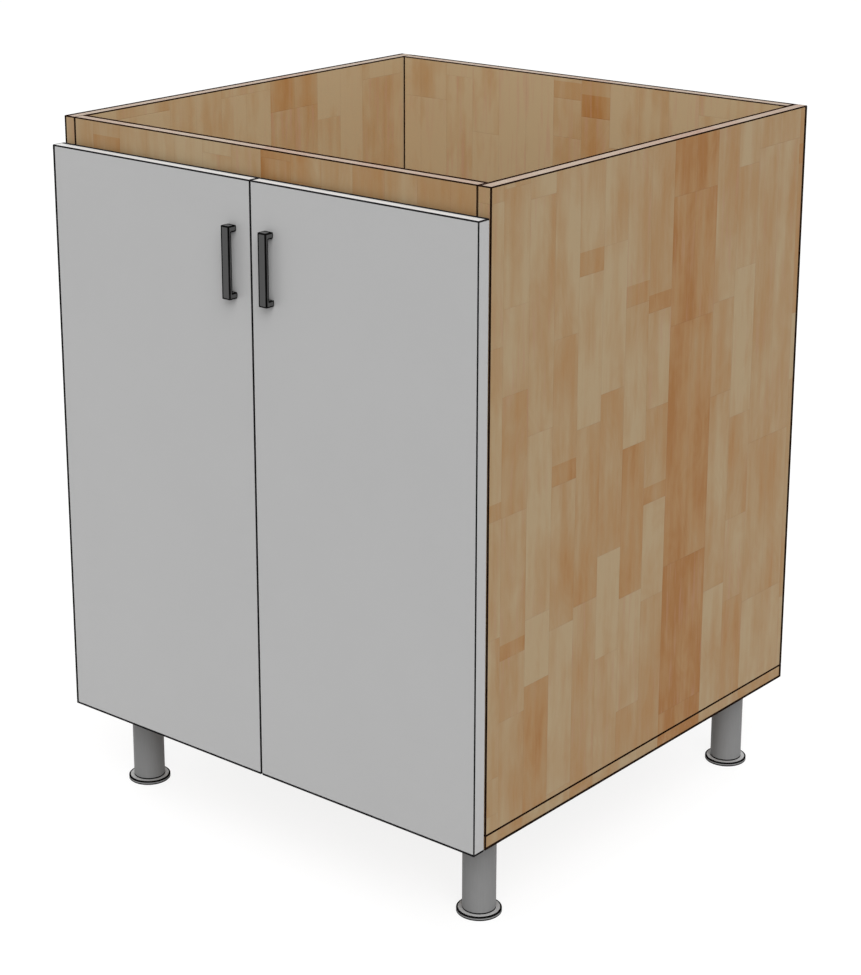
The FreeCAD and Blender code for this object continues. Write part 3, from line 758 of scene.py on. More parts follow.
def plain_material(
    name, colour, rough, spread, cloud=12.0, metallic=0.0, grit=0.02 * MM, specular=0.5
):
    """A painted, moulded or cast surface with clouds, grit and hairlines."""
    material, wire, shader, place = new_material(name, metallic)
    surface = wire.group(fine_surface, {"Vector": place, "Cloud Scale": cloud})
    clouds, dust, lines = surface["Clouds"], surface["Grit"], surface["Scratches"]
    low, high = shades(colour, spread)
    shade = wire.blend(clouds.level(0.3, 0.7, 0.0, 1.0), low, high)
    shade = wire.blend(lines * 0.08, shade, high)
    uneven = (clouds * 0.6 + dust * 0.4).level(0.3, 0.7, rough - 0.06, rough + 0.06)
    coat(wire, shader, shade, uneven, specular, dust - lines, grit, 0.6)
    return material


def brushed_material(name, colour, rough, stretch=(1.0, 1.0, 1.0), metallic=1.0, specular=0.5):
    """Drawn or brushed metal with fine lines along it."""
    material, wire, shader, place = new_material(name, metallic)
    lines = wire.group(brushed_lines, {"Vector": place, "Stretch": stretch})["Lines"]
    clouds = wire.group(fine_surface, {"Vector": place, "Cloud Scale": 25.0})["Clouds"]
    low, high = shades(colour, 0.07)
    shade = wire.blend(lines.level(0.3, 0.7, 0.0, 1.0), low, high)
    shade = wire.blend(clouds.level(0.35, 0.75, 0.0, 0.35), shade, low)
    uneven = (lines * 0.7 + clouds * 0.3).level(0.3, 0.7, rough - 0.07, rough + 0.07)
    coat(wire, shader, shade, uneven, specular, lines, 0.015 * MM, 0.5)
    return material


def stock(name, build, *values, **settings):
    """The finish of a name, made when first asked for. The frame has its own of such names."""
    own = name + "_finish"
    return bpy.data.materials.get(own) or build(own, *values, **settings)


def zinc_steel():
    """The finish of screws, bolts and spindles."""
    return stock("zinc_steel", brushed_material, bpy.context.scene.cabinet_fittings.zinc, 0.34)


def finish_node(node, material, easing=0.0):
    """Gives a CAD node that stays in view its material, and softens its edges."""
    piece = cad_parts[node]
    piece.data.materials.clear()
    piece.data.materials.append(material)
    for polygon in piece.data.polygons:
        polygon.material_index = 0
    if easing:
        piece.modifiers.new("weld", "WELD").merge_threshold = 1e-6
        bevel = piece.modifiers.new("easing", "BEVEL")
        bevel.width = easing
        bevel.segments = 2
        bevel.limit_method = "ANGLE"
        bevel.angle_limit = math.radians(40)
        bevel.harden_normals = False


# Geometry Nodes

def tree_of_nodes(name, inputs):
    """A Geometry Nodes tree with number inputs: its wiring, what it is given and its output."""
    tree = bpy.data.node_groups.new(name, "GeometryNodeTree")
    tree.interface.new_socket("Geometry", in_out="INPUT", socket_type="NodeSocketGeometry")
    for title, default in inputs.items():
        kind = "NodeSocketInt" if isinstance(default, int) else "NodeSocketFloat"
        socket = tree.interface.new_socket(title, in_out="INPUT", socket_type=kind)
        socket.default_value = default
    tree.interface.new_socket("Material", in_out="INPUT", socket_type="NodeSocketMaterial")
    tree.interface.new_socket("Geometry", in_out="OUTPUT", socket_type="NodeSocketGeometry")
    wire = Wiring(tree)
    return wire, wire.readings(wire.add("NodeGroupInput")), wire.add("NodeGroupOutput").inputs


def stand_on_points(wire, given, out, mesh):
    """Puts a mesh on each point of the tree's geometry, turned to its facing, as real geometry."""
    facing = wire.read(
        "GeometryNodeInputNamedAttribute", {"Name": "facing"}, "Attribute",
        data_type="FLOAT_VECTOR",
    )
    turn = wire.add("FunctionNodeAlignRotationToVector", {"Vector": facing}, axis="Z")
    copies = wire.add("GeometryNodeInstanceOnPoints", {
        "Points": given["Geometry"], "Instance": mesh, "Rotation": turn,
    })
    real = wire.add("GeometryNodeRealizeInstances", {"Geometry": copies})
    dressed = {"Geometry": real, "Material": given["Material"]}
    wire.give(out["Geometry"], wire.add("GeometryNodeSetMaterial", dressed))
    return wire.tree


def raised(wire, mesh, height):
    inputs = {"Geometry": mesh, "Translation": wire.vector(0.0, 0.0, height)}
    return wire.read("GeometryNodeTransform", inputs)


def headed_studs(name):
    """Screws, cams and pads: a crowned head on a shank, with a cross recess if one is asked for.

    Each stands with its seat on a point, and its shank runs the way that the point faces.
    """
    wire, given, out = tree_of_nodes(name, {
        "Head Radius": 0.004, "Seat Radius": 0.004, "Head Height": 0.002, "Crown": 0.0005,
        "Shank Radius": 0.002, "Shank Length": 0.01, "Recess": 0.002, "Recess Width": 0.0008,
    })
    height, crown, recess = given["Head Height"], given["Crown"], given["Recess"]
    base = height - crown
    cone = wire.readings(wire.add("GeometryNodeMeshCone", {
        "Vertices": 32, "Side Segments": 1, "Fill Segments": 4,
        "Radius Top": given["Seat Radius"], "Radius Bottom": given["Head Radius"], "Depth": base,
    }))
    x, y = wire.split(wire.add("GeometryNodeInputPosition"))[:2]
    share_out = (x * x + y * y).root() / given["Head Radius"]
    swell = share_out * share_out - 1.0
    domed = wire.add("GeometryNodeSetPosition", {
        "Geometry": cone["Mesh"], "Selection": cone["Bottom"],
        "Offset": wire.vector(0.0, 0.0, swell * crown),
    })
    inside = base * 0.5         # how far the shank reaches into the head
    shank = wire.add("GeometryNodeMeshCylinder", {
        "Vertices": 16, "Radius": given["Shank Radius"],
        "Depth": given["Shank Length"] + inside,
    })
    middle = (given["Shank Length"] - inside) * 0.5
    whole = wire.add(
        "GeometryNodeMeshBoolean", {"Mesh 2": raised(wire, domed, base * -1.0)},
        operation="UNION", solver="EXACT",
    )
    wire.give(whole.inputs["Mesh 2"], raised(wire, shank, middle))
    arms = wire.add("GeometryNodeJoinGeometry")
    # the recess's two bars are centred on the head's top, so half of their depth cuts into it
    reach, width, depth = recess * 2.0, given["Recess Width"], height * 1.1
    for size in (wire.vector(reach, width, depth), wire.vector(width, reach, depth)):
        bar = wire.add("GeometryNodeMeshCube", {"Size": size})
        wire.give(arms.inputs[0], raised(wire, bar, height * -1.0))
    sunk = wire.add(
        "GeometryNodeMeshBoolean", {"Mesh 1": whole, "Mesh 2": arms, "Self Intersection": True},
        operation="DIFFERENCE", solver="EXACT",
    )
    chosen = wire.add(
        "GeometryNodeSwitch", {"Switch": recess > 0.0, "False": whole, "True": sunk},
        input_type="GEOMETRY",
    )
    return stand_on_points(wire, given, out, chosen)


def threaded_rods(name):
    """Rods with a cut thread. Each starts on a point and runs the way that the point faces."""
    wire, given, out = tree_of_nodes(name, {
        "Radius": 0.00495, "Length": 0.05, "Pitch": 0.0015, "Thread Depth": 0.0007, "Rings": 260,
    })
    rod = wire.add("GeometryNodeMeshCylinder", {
        "Vertices": 24, "Side Segments": given["Rings"], "Radius": given["Radius"],
        "Depth": given["Length"],
    })
    x, y, z = wire.split(wire.add("GeometryNodeInputPosition"))
    phase = (z / given["Pitch"] - y.angle_to(x) / (2 * math.pi)).rest()
    valley = 1.0 - abs(phase * 2.0 - 1.0)
    size = 1.0 - valley * given["Thread Depth"] / given["Radius"]
    cut = wire.add("GeometryNodeSetPosition", {
        "Geometry": rod, "Position": wire.vector(x * size, y * size, z),
    })
    return stand_on_points(wire, given, out, raised(wire, cut, given["Length"] * 0.5))


def grown(name, build, places, values, material):
    """The plain mesh that a tree makes of some (point, facing) pairs."""
    seeds = bpy.data.meshes.new(name + "_points")
    seeds.from_pydata([point for point, facing in places], [], [])
    facings = seeds.attributes.new("facing", "FLOAT_VECTOR", "POINT")
    for item, (point, facing) in zip(facings.data, places):
        item.vector = facing
    holder = bpy.data.objects.new(name + "_points", seeds)
    bpy.context.scene.collection.objects.link(holder)
    modifier = holder.modifiers.new("making", "NODES")
    modifier.node_group = shared(build)
    for item in modifier.node_group.interface.items_tree:
        if item.item_type == "SOCKET" and item.in_out == "INPUT" and item.name != "Geometry":
            modifier[item.identifier] = material if item.name == "Material" else values[item.name]
    depsgraph = bpy.context.evaluated_depsgraph_get()
    evaluated = holder.evaluated_get(depsgraph)
    mesh = bpy.data.meshes.new_from_object(evaluated, depsgraph=depsgraph)
    holder.modifiers.remove(modifier)
    bpy.data.objects.remove(holder)
    bpy.data.meshes.remove(seeds)
    if not mesh.polygons:
        raise RuntimeError(f"{name} came out empty")
    mesh.name = name
    smooth(mesh, 30)
    return mesh


# What each fixing is: the way it points on the left side, its head's height and its shank's radius
# in millimetres, whether its head is sunk, and its seat's share of the head's radius.
FIXINGS = {
    "leg_screws": ((0, 0, 1), 2.0, 1.95, False, 1.0),
    "long_screws": ((0, 0, 1), 4.0, 2.5, True, 0.7),
    "plate_screws": ((-1, 0, 0), 2.0, 2.45, False, 1.0),
    "arm_screws": ((-1, 0, 0), 2.0, 1.95, False, 1.0),
    "cam_locks": ((0, -1, 0), 7.0, 7.4, True, 1.0),
}
for kind, facts in {
    "cup_screws_": ((0, -1, 0), 0.9, 1.7, False, 1.0),
    "handle_screws_": ((0, -1, 0), 2.5, 1.95, True, 1.0),
    "bumper_pads_": ((0, -1, 0), 1.2, 4.9, False, 1.0),
}.items():
    FIXINGS.update({kind + side: facts for side in SIDES})


class Fixing:
    """One screw, cam or pad, read from its CAD solid."""

    def __init__(self, node, low, high):
        facing, head, shank, self.sunk, seat = FIXINGS[node]
        self.middle = (low + high) / 2
        self.facing = Vector(facing)
        if facing[0] and self.middle.x > 0:
            self.facing.negate()
        self.axis = max(range(3), key=lambda i: abs(self.facing[i]))
        self.forwards = self.facing[self.axis] > 0
        ends = (low[self.axis], high[self.axis])
        self.outside, self.tip = ends if self.forwards else ends[::-1]
        self.head = head * MM
        self.shank = shank * MM
        self.radius = max((high - low)[i] for i in range(3) if i != self.axis) / 2
        self.seat_radius = self.radius * seat
        self.seat = self.middle.copy()
        self.seat[self.axis] = self.outside + self.facing[self.axis] * self.head

    def length(self):
        return abs(self.tip - self.outside) - self.head


def fixings(node):
    return [Fixing(node, low, high) for low, high in solids_of(node)]


def across(axis, point):
    """The two coordinates of a point across an axis, in the order that placed() takes."""
    return {0: (point[1], point[2]), 1: (point[2], point[0]), 2: (point[0], point[1])}[axis]


def span(start, end, forwards, before, after):
    """(lowest, highest) of a stretch that is made longer at its two ends."""
    sign = 1 if forwards else -1
    return sorted((start - sign * before, end + sign * after))


def add_bores(cutters, node, low, high):
    """Adds the holes that a node's fixings need in a board with these corners."""
    spare = 0.4 * MM        # how far a bore is cut past its ends
    for fixing in fixings(node):
        if any(
            fixing.middle[i] + fixing.radius < low[i] or fixing.middle[i] - fixing.radius > high[i]
            for i in range(3) if i != fixing.axis
        ):
            continue
        lowest, highest = sorted((fixing.outside, fixing.tip))
        if highest <= low[fixing.axis] or lowest >= high[fixing.axis]:
            continue
        axis = "XYZ"[fixing.axis]
        centre = across(fixing.axis, fixing.middle)
        start = fixing.outside if fixing.sunk else fixing.seat[fixing.axis]
        first, last = span(start, fixing.tip, fixing.forwards, spare, spare)
        drum(cutters, axis, centre, fixing.shank + SLACK, first, last)
        if fixing.sunk and fixing.radius > fixing.shank + 2 * SLACK:
            seat = fixing.seat[fixing.axis]
            first, last = span(fixing.outside, seat, fixing.forwards, spare, 0.0)
            ends = (fixing.radius + SLACK, fixing.seat_radius + SLACK)
            near, far = ends if fixing.forwards else ends[::-1]
            drum(cutters, axis, centre, near, first, last, far)


def add_pegs(cutters, node, low, high, radius):
    """Adds the bores of the plain rods of a node in a board with these corners."""
    for first, last in solids_of(node):
        middle = (first + last) / 2
        if all(last[i] > low[i] and first[i] < high[i] for i in range(3)):
            centre = (middle.y, middle.z)
            drum(cutters, "X", centre, radius + SLACK, first.x - SLACK, last.x + SLACK)


class CABINET_OT_boards(bpy.types.Operator):
    """Make the five wooden boards of the carcass"""

    bl_idname = "cabinet.boards"
    bl_label = "Boards"

    def execute(self, context):
        wood = context.scene.cabinet_wood
        ink = stock("wood_arris", ink_material, wood.ink)
        bore = stock("wood_bore", plain_material, wood.bore, 0.8, 0.10, cloud=160.0)
        peg_radii = {"cam_bolts": 3.1 * MM, "dowels": 3.95 * MM}
        # node: the axis that the strips lie along, the axis that they run along, seed, heartwood's
        # middle, how dark the darkest other pieces are, and how much lighter the whole board is
        # painted, which on the left side and back panels is painted light that offsets the shade
        # inside the carcass
        boards = {
            "side_panel_left": ("Y", "Z", 3.0, 0.10, 0.05, 0.32),
            "side_panel_right": ("Y", "Z", 5.0, 0.082, 0.2, 0.03),
            "back_panel": ("X", "Z", 8.0, 0.02, 0.2, 0.26),
            "front_rail": ("X", "Z", 2.0, 0.03, 0.05, 0.02),
            "bottom_panel": ("Y", "X", 5.0, 0.082, 0.2, 0.0),
        }
        for node, pattern in boards.items():
            low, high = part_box(node)
            lying, running = pattern[:2]
            i = "XYZ".index(running)
            (a0, b0), (a1, b1) = across(i, low), across(i, high)
            corners = [(a0, b0), (a1, b0), (a1, b1), (a0, b1)]
            cuts, strips, margins = self.edges(wood, node, lying, running, low.x < 0)
            blank = extruded(corners, cuts, running, low[i], high[i], wood.arris, strips, margins)
            cutters = bmesh.new()
            for fixed in ("long_screws", "leg_screws", "plate_screws", "cam_locks"):
                add_bores(cutters, fixed, low, high)
            for pegs, radius in peg_radii.items():
                add_pegs(cutters, pegs, low, high, radius)
            materials = [
                wood_material(node + "_wood", *pattern),
                wood_material(node + "_ends", *pattern, ends=running == "Z"),
                ink, bore,
            ]
            mesh = bored(node, blank, cutters, materials)
            shown(node + "_board", mesh, materials, "carcass", node)
        return {"FINISHED"}

    def edges(self, wood, node, lying, running, on_left):
        """A board's cuts, the strips beside its end rims, and the margins of its end faces.

        A strip that the photograph's view meets at a flat angle is wider, so that all look alike.
        """
        thin, wide, top = wood.strip, wood.wide_strip, wood.top_strip
        plain, seam = (wood.arris, 1, thin, thin), (wood.arris, 1, 1.4 * thin, thin)
        if running == "X":      # the bottom panel, whose ends show below the side panels
            return [plain] * 4, (thin, thin), [0.65 * wide, wide, 1.4 * thin, thin]
        if lying == "X":        # its ends butt against the side panels
            butt = 0.2 * MM
            open_end = 1.2 * thin if node == "front_rail" else 0.5 * wide
            cuts = [(butt, 1, 0.0, open_end), (butt, 1, open_end, 0.0)] * 2
            return cuts, (thin, thin), [thin, 0.0, top, 0.0]
        if on_left:
            cuts = [(wood.arris, 1, thin, 0.6 * wide), seam, plain, plain]
        else:
            cuts = [plain, seam, (wood.arris, 1, wide, thin), plain]
            top *= 0.8
        return cuts, (0.5 * thin, 1.1 * thin), [thin, thin, thin, top]


class CABINET_OT_doors(bpy.types.Operator):
    """Make the two laminated doors, bored for their hinges and handles"""

    bl_idname = "cabinet.doors"
    bl_label = "Doors"

    def execute(self, context):
        door = context.scene.cabinet_doors
        flat = 0.012        # how little the laminate's colour varies
        materials = [
            stock("door_laminate", plain_material, door.face, 0.42, flat, 7.0, grit=0.03 * MM),
            # The same band as the upright edges, a little darker: painted shade against the light
            # from above on the top edges.
            stock("door_end_band", plain_material, door.end, 0.55, flat, 20.0, specular=0.25),
            stock("door_arris", ink_material, door.ink),
            stock("door_core", plain_material, door.core, 0.85, 0.16, 420.0, grit=0.2 * MM),
            stock("door_edge_band", plain_material, door.edge, 0.36, flat, 20.0),
        ]
        plain = (door.arris, 1, door.strip, door.strip)
        turning = (door.turning_edge, 6, 0.0, 0.0)
        outer_front = (door.arris, 1, door.strip, door.outer_strip)
        # The meeting edges get dark strips: painted shade in the gap between the doors.
        all_cuts = {
            "left": [outer_front, (door.arris, 1, 0.0, door.meeting_strip), plain, turning],
            "right": [(door.arris, 1, door.meeting_strip, 0.0), plain, turning, plain],
        }
        strips = (door.lower_strip, 1.5 * door.strip)
        margins = [door.strip, door.strip, door.top_strip, 2.5 * door.strip]
        for side, outer in zip(SIDES, (-1, 1)):
            node = "door_" + side
            low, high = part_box(node)
            corners = [(low.x, low.y), (high.x, low.y), (high.x, high.y), (low.x, high.y)]
            blank = extruded(
                corners, all_cuts[side], "Z", low.z, high.z, door.arris, strips, margins
            )
            blank.normal_update()
            for face in blank.faces:
                looks_sideways = abs(face.normal.y) < 0.9
                if face.material_index == FACE and looks_sideways:
                    face.material_index = BAND
            cutters = bmesh.new()
            cup_x = (low.x if outer < 0 else high.x) - outer * door.cup_from_edge
            for level in LEVELS:
                cup_low, cup_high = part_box(f"hinge_cup_{level}_{side}")
                centre = ((cup_low.z + cup_high.z) / 2, cup_x)
                deep = high.y - door.cup_depth
                drum(cutters, "Y", centre, door.cup_radius, deep, high.y + MM, segments=64)
            for fixed in ("handle_screws_", "cup_screws_"):
                add_bores(cutters, fixed + side, low, high)
            mesh = bored(node, blank, cutters, materials)
            shown(node + "_slab", mesh, materials, node, node)
        return {"FINISHED"}


class CABINET_OT_handles(bpy.types.Operator):
    """Make the two bow handles"""

    bl_idname = "cabinet.handles"
    bl_label = "Handles"

    def execute(self, context):
        bow = context.scene.cabinet_handles
        metal = stock("handle_metal", brushed_material, bow.metal, 0.5, UPRIGHT, 0.0, 0.3)
        ink = stock("handle_arris", ink_material, bow.ink)
        strip = bow.strip
        front, lower = (bow.arris, 1, strip, strip), (bow.arris, 1, strip, bow.outer_strip)
        foot, back = (bow.corner, 6, strip, strip), (bow.corner, 6, strip, 2.4 * strip)
        hollow = (bow.inner_corner, 5, strip, strip)
        cuts = [lower, foot, foot, hollow, hollow, foot, back, front]
        for side in SIDES:
            node = "handle_" + side
            low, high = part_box(node)
            inner_y, foot_top, foot_bottom = low.y + bow.bar, low.z + bow.foot, high.z - bow.foot
            corners = [
                (low.y, low.z), (high.y, low.z), (high.y, foot_top), (inner_y, foot_top),
                (inner_y, foot_bottom), (high.y, foot_bottom), (high.y, high.z), (low.y, high.z),
            ]
            blank = extruded(
                corners, cuts, "X", low.x, high.x, bow.arris, (bow.outer_strip, strip), [strip] * 8
            )
            materials = [metal, metal, ink, ink]
            cutters = bmesh.new()
            add_bores(cutters, "handle_screws_" + side, low, high)
            mesh = bored(node, blank, cutters, materials)
            shown(node + "_bow", mesh, materials, "door_" + side, node)
        return {"FINISHED"}


class CABINET_OT_legs(bpy.types.Operator):
    """Make the tubes, end rings, threaded spindles and foot discs of the legs"""

    bl_idname = "cabinet.legs"
    bl_label = "Legs"

    def execute(self, context):
        leg = context.scene.cabinet_legs
        metal = stock("leg_metal", brushed_material, leg.metal, 0.55, UPRIGHT, 0.0, 0.25)
        plastic = stock("leg_plastic", plain_material, leg.ink, 0.8, 0.08, 70.0, specular=0.1)
        even = (1.0, 1.0, 1.0)
        disc = [
            stock("foot_metal", brushed_material, leg.disc, 0.55, even, 0.0, 0.25),
            stock("foot_rim", ink_material, leg.ink),
            stock("leg_rubber", plain_material, leg.rubber, 0.75, 0.10, 90.0, grit=0.06 * MM),
            # The tops are painted lighter than the sides: painted light.
            stock("foot_top", brushed_material, leg.top, 0.55, even, 0.0, 0.25),
        ]
        steel = zinc_steel()
        rings_a_turn = 8        # of points along a thread
        for place in LEGS:
            low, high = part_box("leg_tube_" + place)
            rod_low, rod_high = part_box("leg_spindle_" + place)
            centre = (low + high) / 2
            rod = (rod_high.x - rod_low.x) / 2
            foot = low.z + leg.end_ring
            self.tube(leg, place, low, high, centre, foot, metal)
            # The plug's lip shows as a near-black end ring under the tube: a real plastic insert,
            # and painted shade for the line where the tube meets the disc.
            self.plug(leg, place, low, high, centre, foot, rod + SLACK, plastic)
            self.disc(leg, place, centre, rod + SLACK, rod_low.z, disc)

            rod_length = rod_high.z - rod_low.z
            values = {
                "Radius": rod, "Length": rod_length, "Pitch": leg.pitch,
                "Thread Depth": leg.thread, "Rings": round(rod_length / leg.pitch * rings_a_turn),
            }
            node = "leg_spindle_" + place
            start = (centre.x, centre.y, rod_low.z)
            mesh = grown(node, threaded_rods, [(start, (0, 0, 1))], values, steel)
            shown(f"foot_{place}_spindle", mesh, [steel], "foot_" + place, node)
            finish_node("leg_flange_" + place, metal, 0.4 * MM)
        return {"FINISHED"}

    def tube(self, leg, place, low, high, centre, foot, metal):
        node = "leg_tube_" + place
        radius = (high.x - low.x) / 2
        bore, rim = radius - leg.wall, radius - leg.edge
        outline = [
            (bore, foot), (rim, foot), (radius, foot + leg.edge), (radius, high.z - leg.edge),
            (rim, high.z), (bore, high.z),
        ]
        mesh = turned(node, outline, [0] * 6, centre)
        shown(f"leg_{place}_tube", mesh, [metal], "carcass", node)

    def plug(self, leg, place, low, high, centre, foot, hole, plastic):
        node = "leg_nut_" + place
        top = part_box(node)[1].z
        radius = (high.x - low.x) / 2
        plug = radius - leg.wall - SLACK
        outline = [
            (hole, low.z), (radius - leg.edge, low.z), (radius, low.z + leg.edge), (radius, foot),
            (plug, foot), (plug, top), (hole, top),
        ]
        mesh = turned(node, outline, [0] * 7, centre)
        shown(f"leg_{place}_plug", mesh, [plastic], "carcass", node)

    def disc(self, leg, place, centre, hole, hole_end, materials):
        """The foot disc, with its sole below, its dark rims, and its top painted lighter than its
        side as painted light.
        """
        node = "foot_disc_" + place
        low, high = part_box(node)
        radius = (high.x - low.x) / 2
        cut, strip = leg.arris, leg.strip
        groove, rim_width, sole_width = 0.4 * MM, 2.2 * MM, 6.0 * MM
        pad = radius - rim_width
        ring = pad - sole_width
        sunk = low.z + groove
        metal, ink, sole, top = range(4)
        # The top's ring takes the lighter top finish: painted light.
        profile = [
            (0.0, sunk, sole), (ring, sunk, sole), (ring, low.z, sole), (pad, low.z, sole),
            (pad, sunk, metal), (pad + groove, sunk, metal), (pad + groove, low.z, metal),
            (radius - cut, low.z, ink), (radius, low.z + cut, ink),
            (radius, low.z + cut + 1.2 * strip, metal), (radius, high.z - cut - strip, ink),
            (radius, high.z - cut, ink), (radius - cut, high.z, ink),
            (radius - cut - 1.5 * strip, high.z, top), (hole, high.z, metal),
            (hole, hole_end, metal), (0.0, hole_end, metal),
        ]
        outline, kinds = [point[:2] for point in profile], [point[2] for point in profile]
        mesh = turned(node, outline, kinds, centre, 96)
        shown(f"foot_{place}_disc", mesh, materials, "foot_" + place, node)


class CABINET_OT_fixings(bpy.types.Operator):
    """Make the screws, cams and door pads"""

    bl_idname = "cabinet.fixings"
    bl_label = "Screws, cams and pads"

    def execute(self, context):
        fitting = context.scene.cabinet_fittings
        casting = stock(
            "zinc_casting", plain_material, fitting.casting, 0.48, 0.08, 260.0, metallic=0.9
        )
        rubber = stock("pad_rubber", plain_material, fitting.pad, 0.6, 0.05, 120.0)
        finishes = {"cam_locks": (casting, "zinc_casting"), "bumper_pads": (rubber, "pad_rubber")}
        high_crown, flat_crown = 0.35, 0.02     # of the head's height
        slot_width = 0.24                       # of the head's radius
        for node in FIXINGS:
            items = fixings(node)
            one = items[0]
            kind, side = node.rsplit("_", 1) if node.endswith(SIDES) else (node, "")
            material, slot = finishes.get(kind, (zinc_steel(), "zinc_screw"))
            is_pad = slot == "pad_rubber"
            round_headed = slot == "zinc_screw" and not one.seat_radius < one.radius
            values = {
                "Head Radius": one.radius, "Seat Radius": one.seat_radius,
                "Head Height": one.head,
                "Crown": one.head * (high_crown if round_headed or is_pad else flat_crown),
                "Shank Radius": min(one.shank, one.seat_radius * 0.98),
                "Shank Length": one.length(),
                "Recess": 0.0 if is_pad else one.radius * fitting.recess,
                "Recess Width": one.radius * slot_width,
            }
            places = [(item.seat, item.facing) for item in items]
            mesh = grown(node, headed_studs, places, values, material)
            body = "door_" + side if side else "carcass"
            shown(node + "_set", mesh, [material], body, node)
        return {"FINISHED"}


class CABINET_OT_hinges(bpy.types.Operator):
    """Finish the cup hinges, the cam bolts and the dowels"""

    bl_idname = "cabinet.hinges"
    bl_label = "Hinges"

    def execute(self, context):
        fitting = context.scene.cabinet_fittings
        upwards, round_about = (1.0, 1.0, 0.1), (0.1, 0.1, 1.0)     # how the lines are drawn out
        nickel = stock("hinge_nickel", brushed_material, fitting.steel, 0.52, upwards)
        pin = stock("hinge_pin_steel", brushed_material, fitting.steel, 0.3, round_about)
        for side in SIDES:
            for level in LEVELS:
                for part in ("cup", "arm", "plate"):
                    finish_node(f"hinge_{part}_{level}_{side}", nickel, fitting.easing)
                finish_node(f"hinge_pin_{level}_{side}", pin)
        finish_node("cam_bolts", zinc_steel())
        beech = stock("dowel_wood", plain_material, fitting.dowel, 0.7, 0.10, 200.0)
        finish_node("dowels", beech)
        return {"FINISHED"}


def lamp(name, kind, energy, place, target, **settings):
    """A lamp at a place that points at a target and isn't seen itself."""
    light = bpy.data.lights.new(name, kind)
    light.energy = energy
    for key, value in settings.items():
        setattr(light, key, value)
    holder = bpy.data.objects.new(name, light)
    bpy.context.scene.collection.objects.link(holder)
    holder.location = place
    holder.rotation_euler = (Vector(target) - Vector(place)).to_track_quat("-Z", "Y").to_euler()
    holder.visible_camera = False


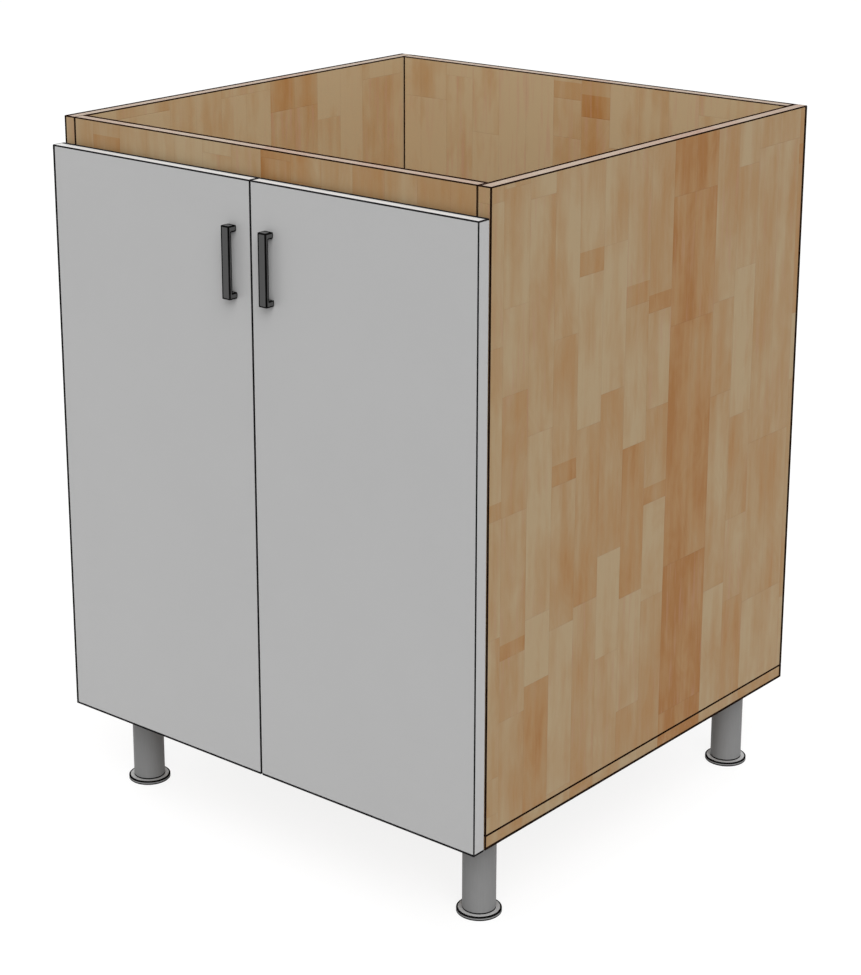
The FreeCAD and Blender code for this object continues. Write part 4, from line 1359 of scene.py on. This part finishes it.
class CABINET_OT_stage(bpy.types.Operator):
    """Set up the floor, the surroundings, the lamps and the camera"""

    bl_idname = "cabinet.stage"
    bl_label = "Stage"

    def execute(self, context):
        stage = context.scene.cabinet_stage
        scene = context.scene
        scene.view_settings.view_transform = "Standard"
        self.floor(stage)
        self.surroundings(scene, stage)
        middle = (0.0, 0.0, 0.4)
        full_sun = math.pi          # a sun of this strength shows a colour as it is written
        key, fill = stage.key * full_sun, stage.fill * full_sun
        lamp("key", "SUN", key, (2.2, -2.2, 3.2), middle, angle=math.radians(50))
        lamp("fill", "SUN", fill, (-2.4, 2.0, 2.6), middle, angle=math.radians(60))
        over = 1.15                 # metres from the open top to its lamp
        top = cad_box[1].z
        watts = stage.top * math.pi ** 2 * over ** 2    # as bright there as such a share of sun
        place, target = (0.05, -0.08, top + over), (0.0, 0.02, top)
        lamp("over_top", "AREA", watts, place, target, shape="DISK", size=0.9)
        self.camera(scene)
        return {"FINISHED"}

    def floor(self, stage):
        """White paper for the camera, and a plain matt floor for the light on the object."""
        half = stage.floor_size / 2
        corners = [(-half, -half, 0), (half, -half, 0), (half, half, 0), (-half, half, 0)]
        mesh = bpy.data.meshes.new("floor")
        mesh.from_pydata(corners, [], [(0, 1, 2, 3)])
        floor = bpy.data.objects.new("floor", mesh)
        bpy.context.scene.collection.objects.link(floor)
        floor.location.z = -0.2 * MM        # just clear of the discs
        material = bpy.data.materials.new("floor_white")
        material.use_nodes = True
        material.node_tree.nodes.clear()
        wire = Wiring(material.node_tree)
        place = wire.read("ShaderNodeTexCoord", output="Object")
        # The glow and what the paper throws back of the lamps come to white. A shadow takes
        # away only the second.
        grey = wire.blend(wire.noise(place, 0.8, 3.0), (0.18,) * 3, (0.20,) * 3)
        paper = wire.add("ShaderNodeBsdfDiffuse", {"Color": grey})
        glow = wire.add("ShaderNodeEmission", {"Strength": 0.84})
        bright = wire.add("ShaderNodeAddShader", {0: paper, 1: glow})
        matt = wire.add("ShaderNodeBsdfDiffuse", {"Color": rgba((stage.bounce,) * 3)})
        surface = wire.add("ShaderNodeMixShader", {0: self.seen(wire), 1: matt, 2: bright})
        clear = wire.add("ShaderNodeBsdfTransparent")
        below = wire.read("ShaderNodeNewGeometry", output="Backfacing")
        whole = wire.add("ShaderNodeMixShader", {0: below, 1: surface, 2: clear})
        wire.add("ShaderNodeOutputMaterial", {"Surface": whole})
        mesh.materials.append(material)

    def seen(self, wire):
        """1 for what the camera sees, directly or in gloss or glass, else 0."""
        path = wire.readings(wire.add("ShaderNodeLightPath"))
        direct = path["Is Camera Ray"].most(path["Is Glossy Ray"])
        return direct.most(path["Is Transmission Ray"])

    def surroundings(self, scene, stage):
        world = bpy.data.worlds.new("white_surroundings")
        scene.world = world
        world.use_nodes = True
        world.node_tree.nodes.clear()
        wire = Wiring(world.node_tree)
        strength = self.seen(wire).level(0.0, 1.0, stage.ambient, 1.0)
        sky = wire.add("ShaderNodeBackground", {"Strength": strength})
        wire.add("ShaderNodeOutputWorld", {"Surface": sky})

    def camera(self, scene):
        """The photograph's camera, solved from the cabinet's straight edges."""
        place = Vector((1.667716, -2.029010, 1.276920))
        right = Vector((0.76827839, 0.64011586, -0.00004878))
        up = Vector((-0.1812239, 0.21758122, 0.95907055))
        ahead = Vector((-0.61392688, 0.73682433, -0.28316724))
        focal, middle_x, middle_y = 2380.327, 415.499, 374.664     # pixels
        data = bpy.data.cameras.new("photo_camera")
        data.sensor_width = 36.0
        data.lens = focal * data.sensor_width / PHOTO_HEIGHT
        data.shift_x = (PHOTO_WIDTH / 2 - middle_x) / PHOTO_HEIGHT
        data.shift_y = (middle_y - PHOTO_HEIGHT / 2) / PHOTO_HEIGHT
        data.clip_start, data.clip_end = 0.05, 200.0
        camera = bpy.data.objects.new("photo_camera", data)
        scene.collection.objects.link(camera)
        turn = Matrix((right, up, -ahead)).transposed().to_4x4()
        camera.matrix_world = Matrix.Translation(place) @ turn
        scene.camera = camera


GROUPS = {
    "cabinet_wood": WoodSettings,
    "cabinet_doors": DoorSettings,
    "cabinet_handles": HandleSettings,
    "cabinet_legs": LegSettings,
    "cabinet_fittings": FittingSettings,
    "cabinet_stage": StageSettings,
}
OPERATORS = (
    CABINET_OT_boards,
    CABINET_OT_doors,
    CABINET_OT_handles,
    CABINET_OT_legs,
    CABINET_OT_fixings,
    CABINET_OT_hinges,
    CABINET_OT_stage,
)


class CABINET_PT_sidebar(bpy.types.Panel):
    """The cabinet's sizes, colours and making steps"""

    bl_idname = "CABINET_PT_sidebar"
    bl_label = "Sink base cabinet"
    bl_space_type = "VIEW_3D"
    bl_region_type = "UI"
    bl_category = "Cabinet"

    def draw(self, context):
        for name, group in GROUPS.items():
            box = self.layout.box()
            box.label(text=group.__doc__)
            for key in group.__annotations__:
                box.prop(getattr(context.scene, name), key)
        for operator in OPERATORS:
            self.layout.operator(operator.bl_idname)


def register():
    for group in (*GROUPS.values(), *OPERATORS, CABINET_PT_sidebar):
        bpy.utils.register_class(group)
    for name, group in GROUPS.items():
        setattr(bpy.types.Scene, name, bpy.props.PointerProperty(type=group))


def unregister():
    for name in GROUPS:
        delattr(bpy.types.Scene, name)
    for group in (CABINET_PT_sidebar, *reversed(OPERATORS), *reversed(GROUPS.values())):
        bpy.utils.unregister_class(group)


def main():
    register()
    for operator in OPERATORS:
        name = operator.bl_idname.split(".")[1]
        getattr(bpy.ops.cabinet, name)()


if __name__ == "__main__":
    main()
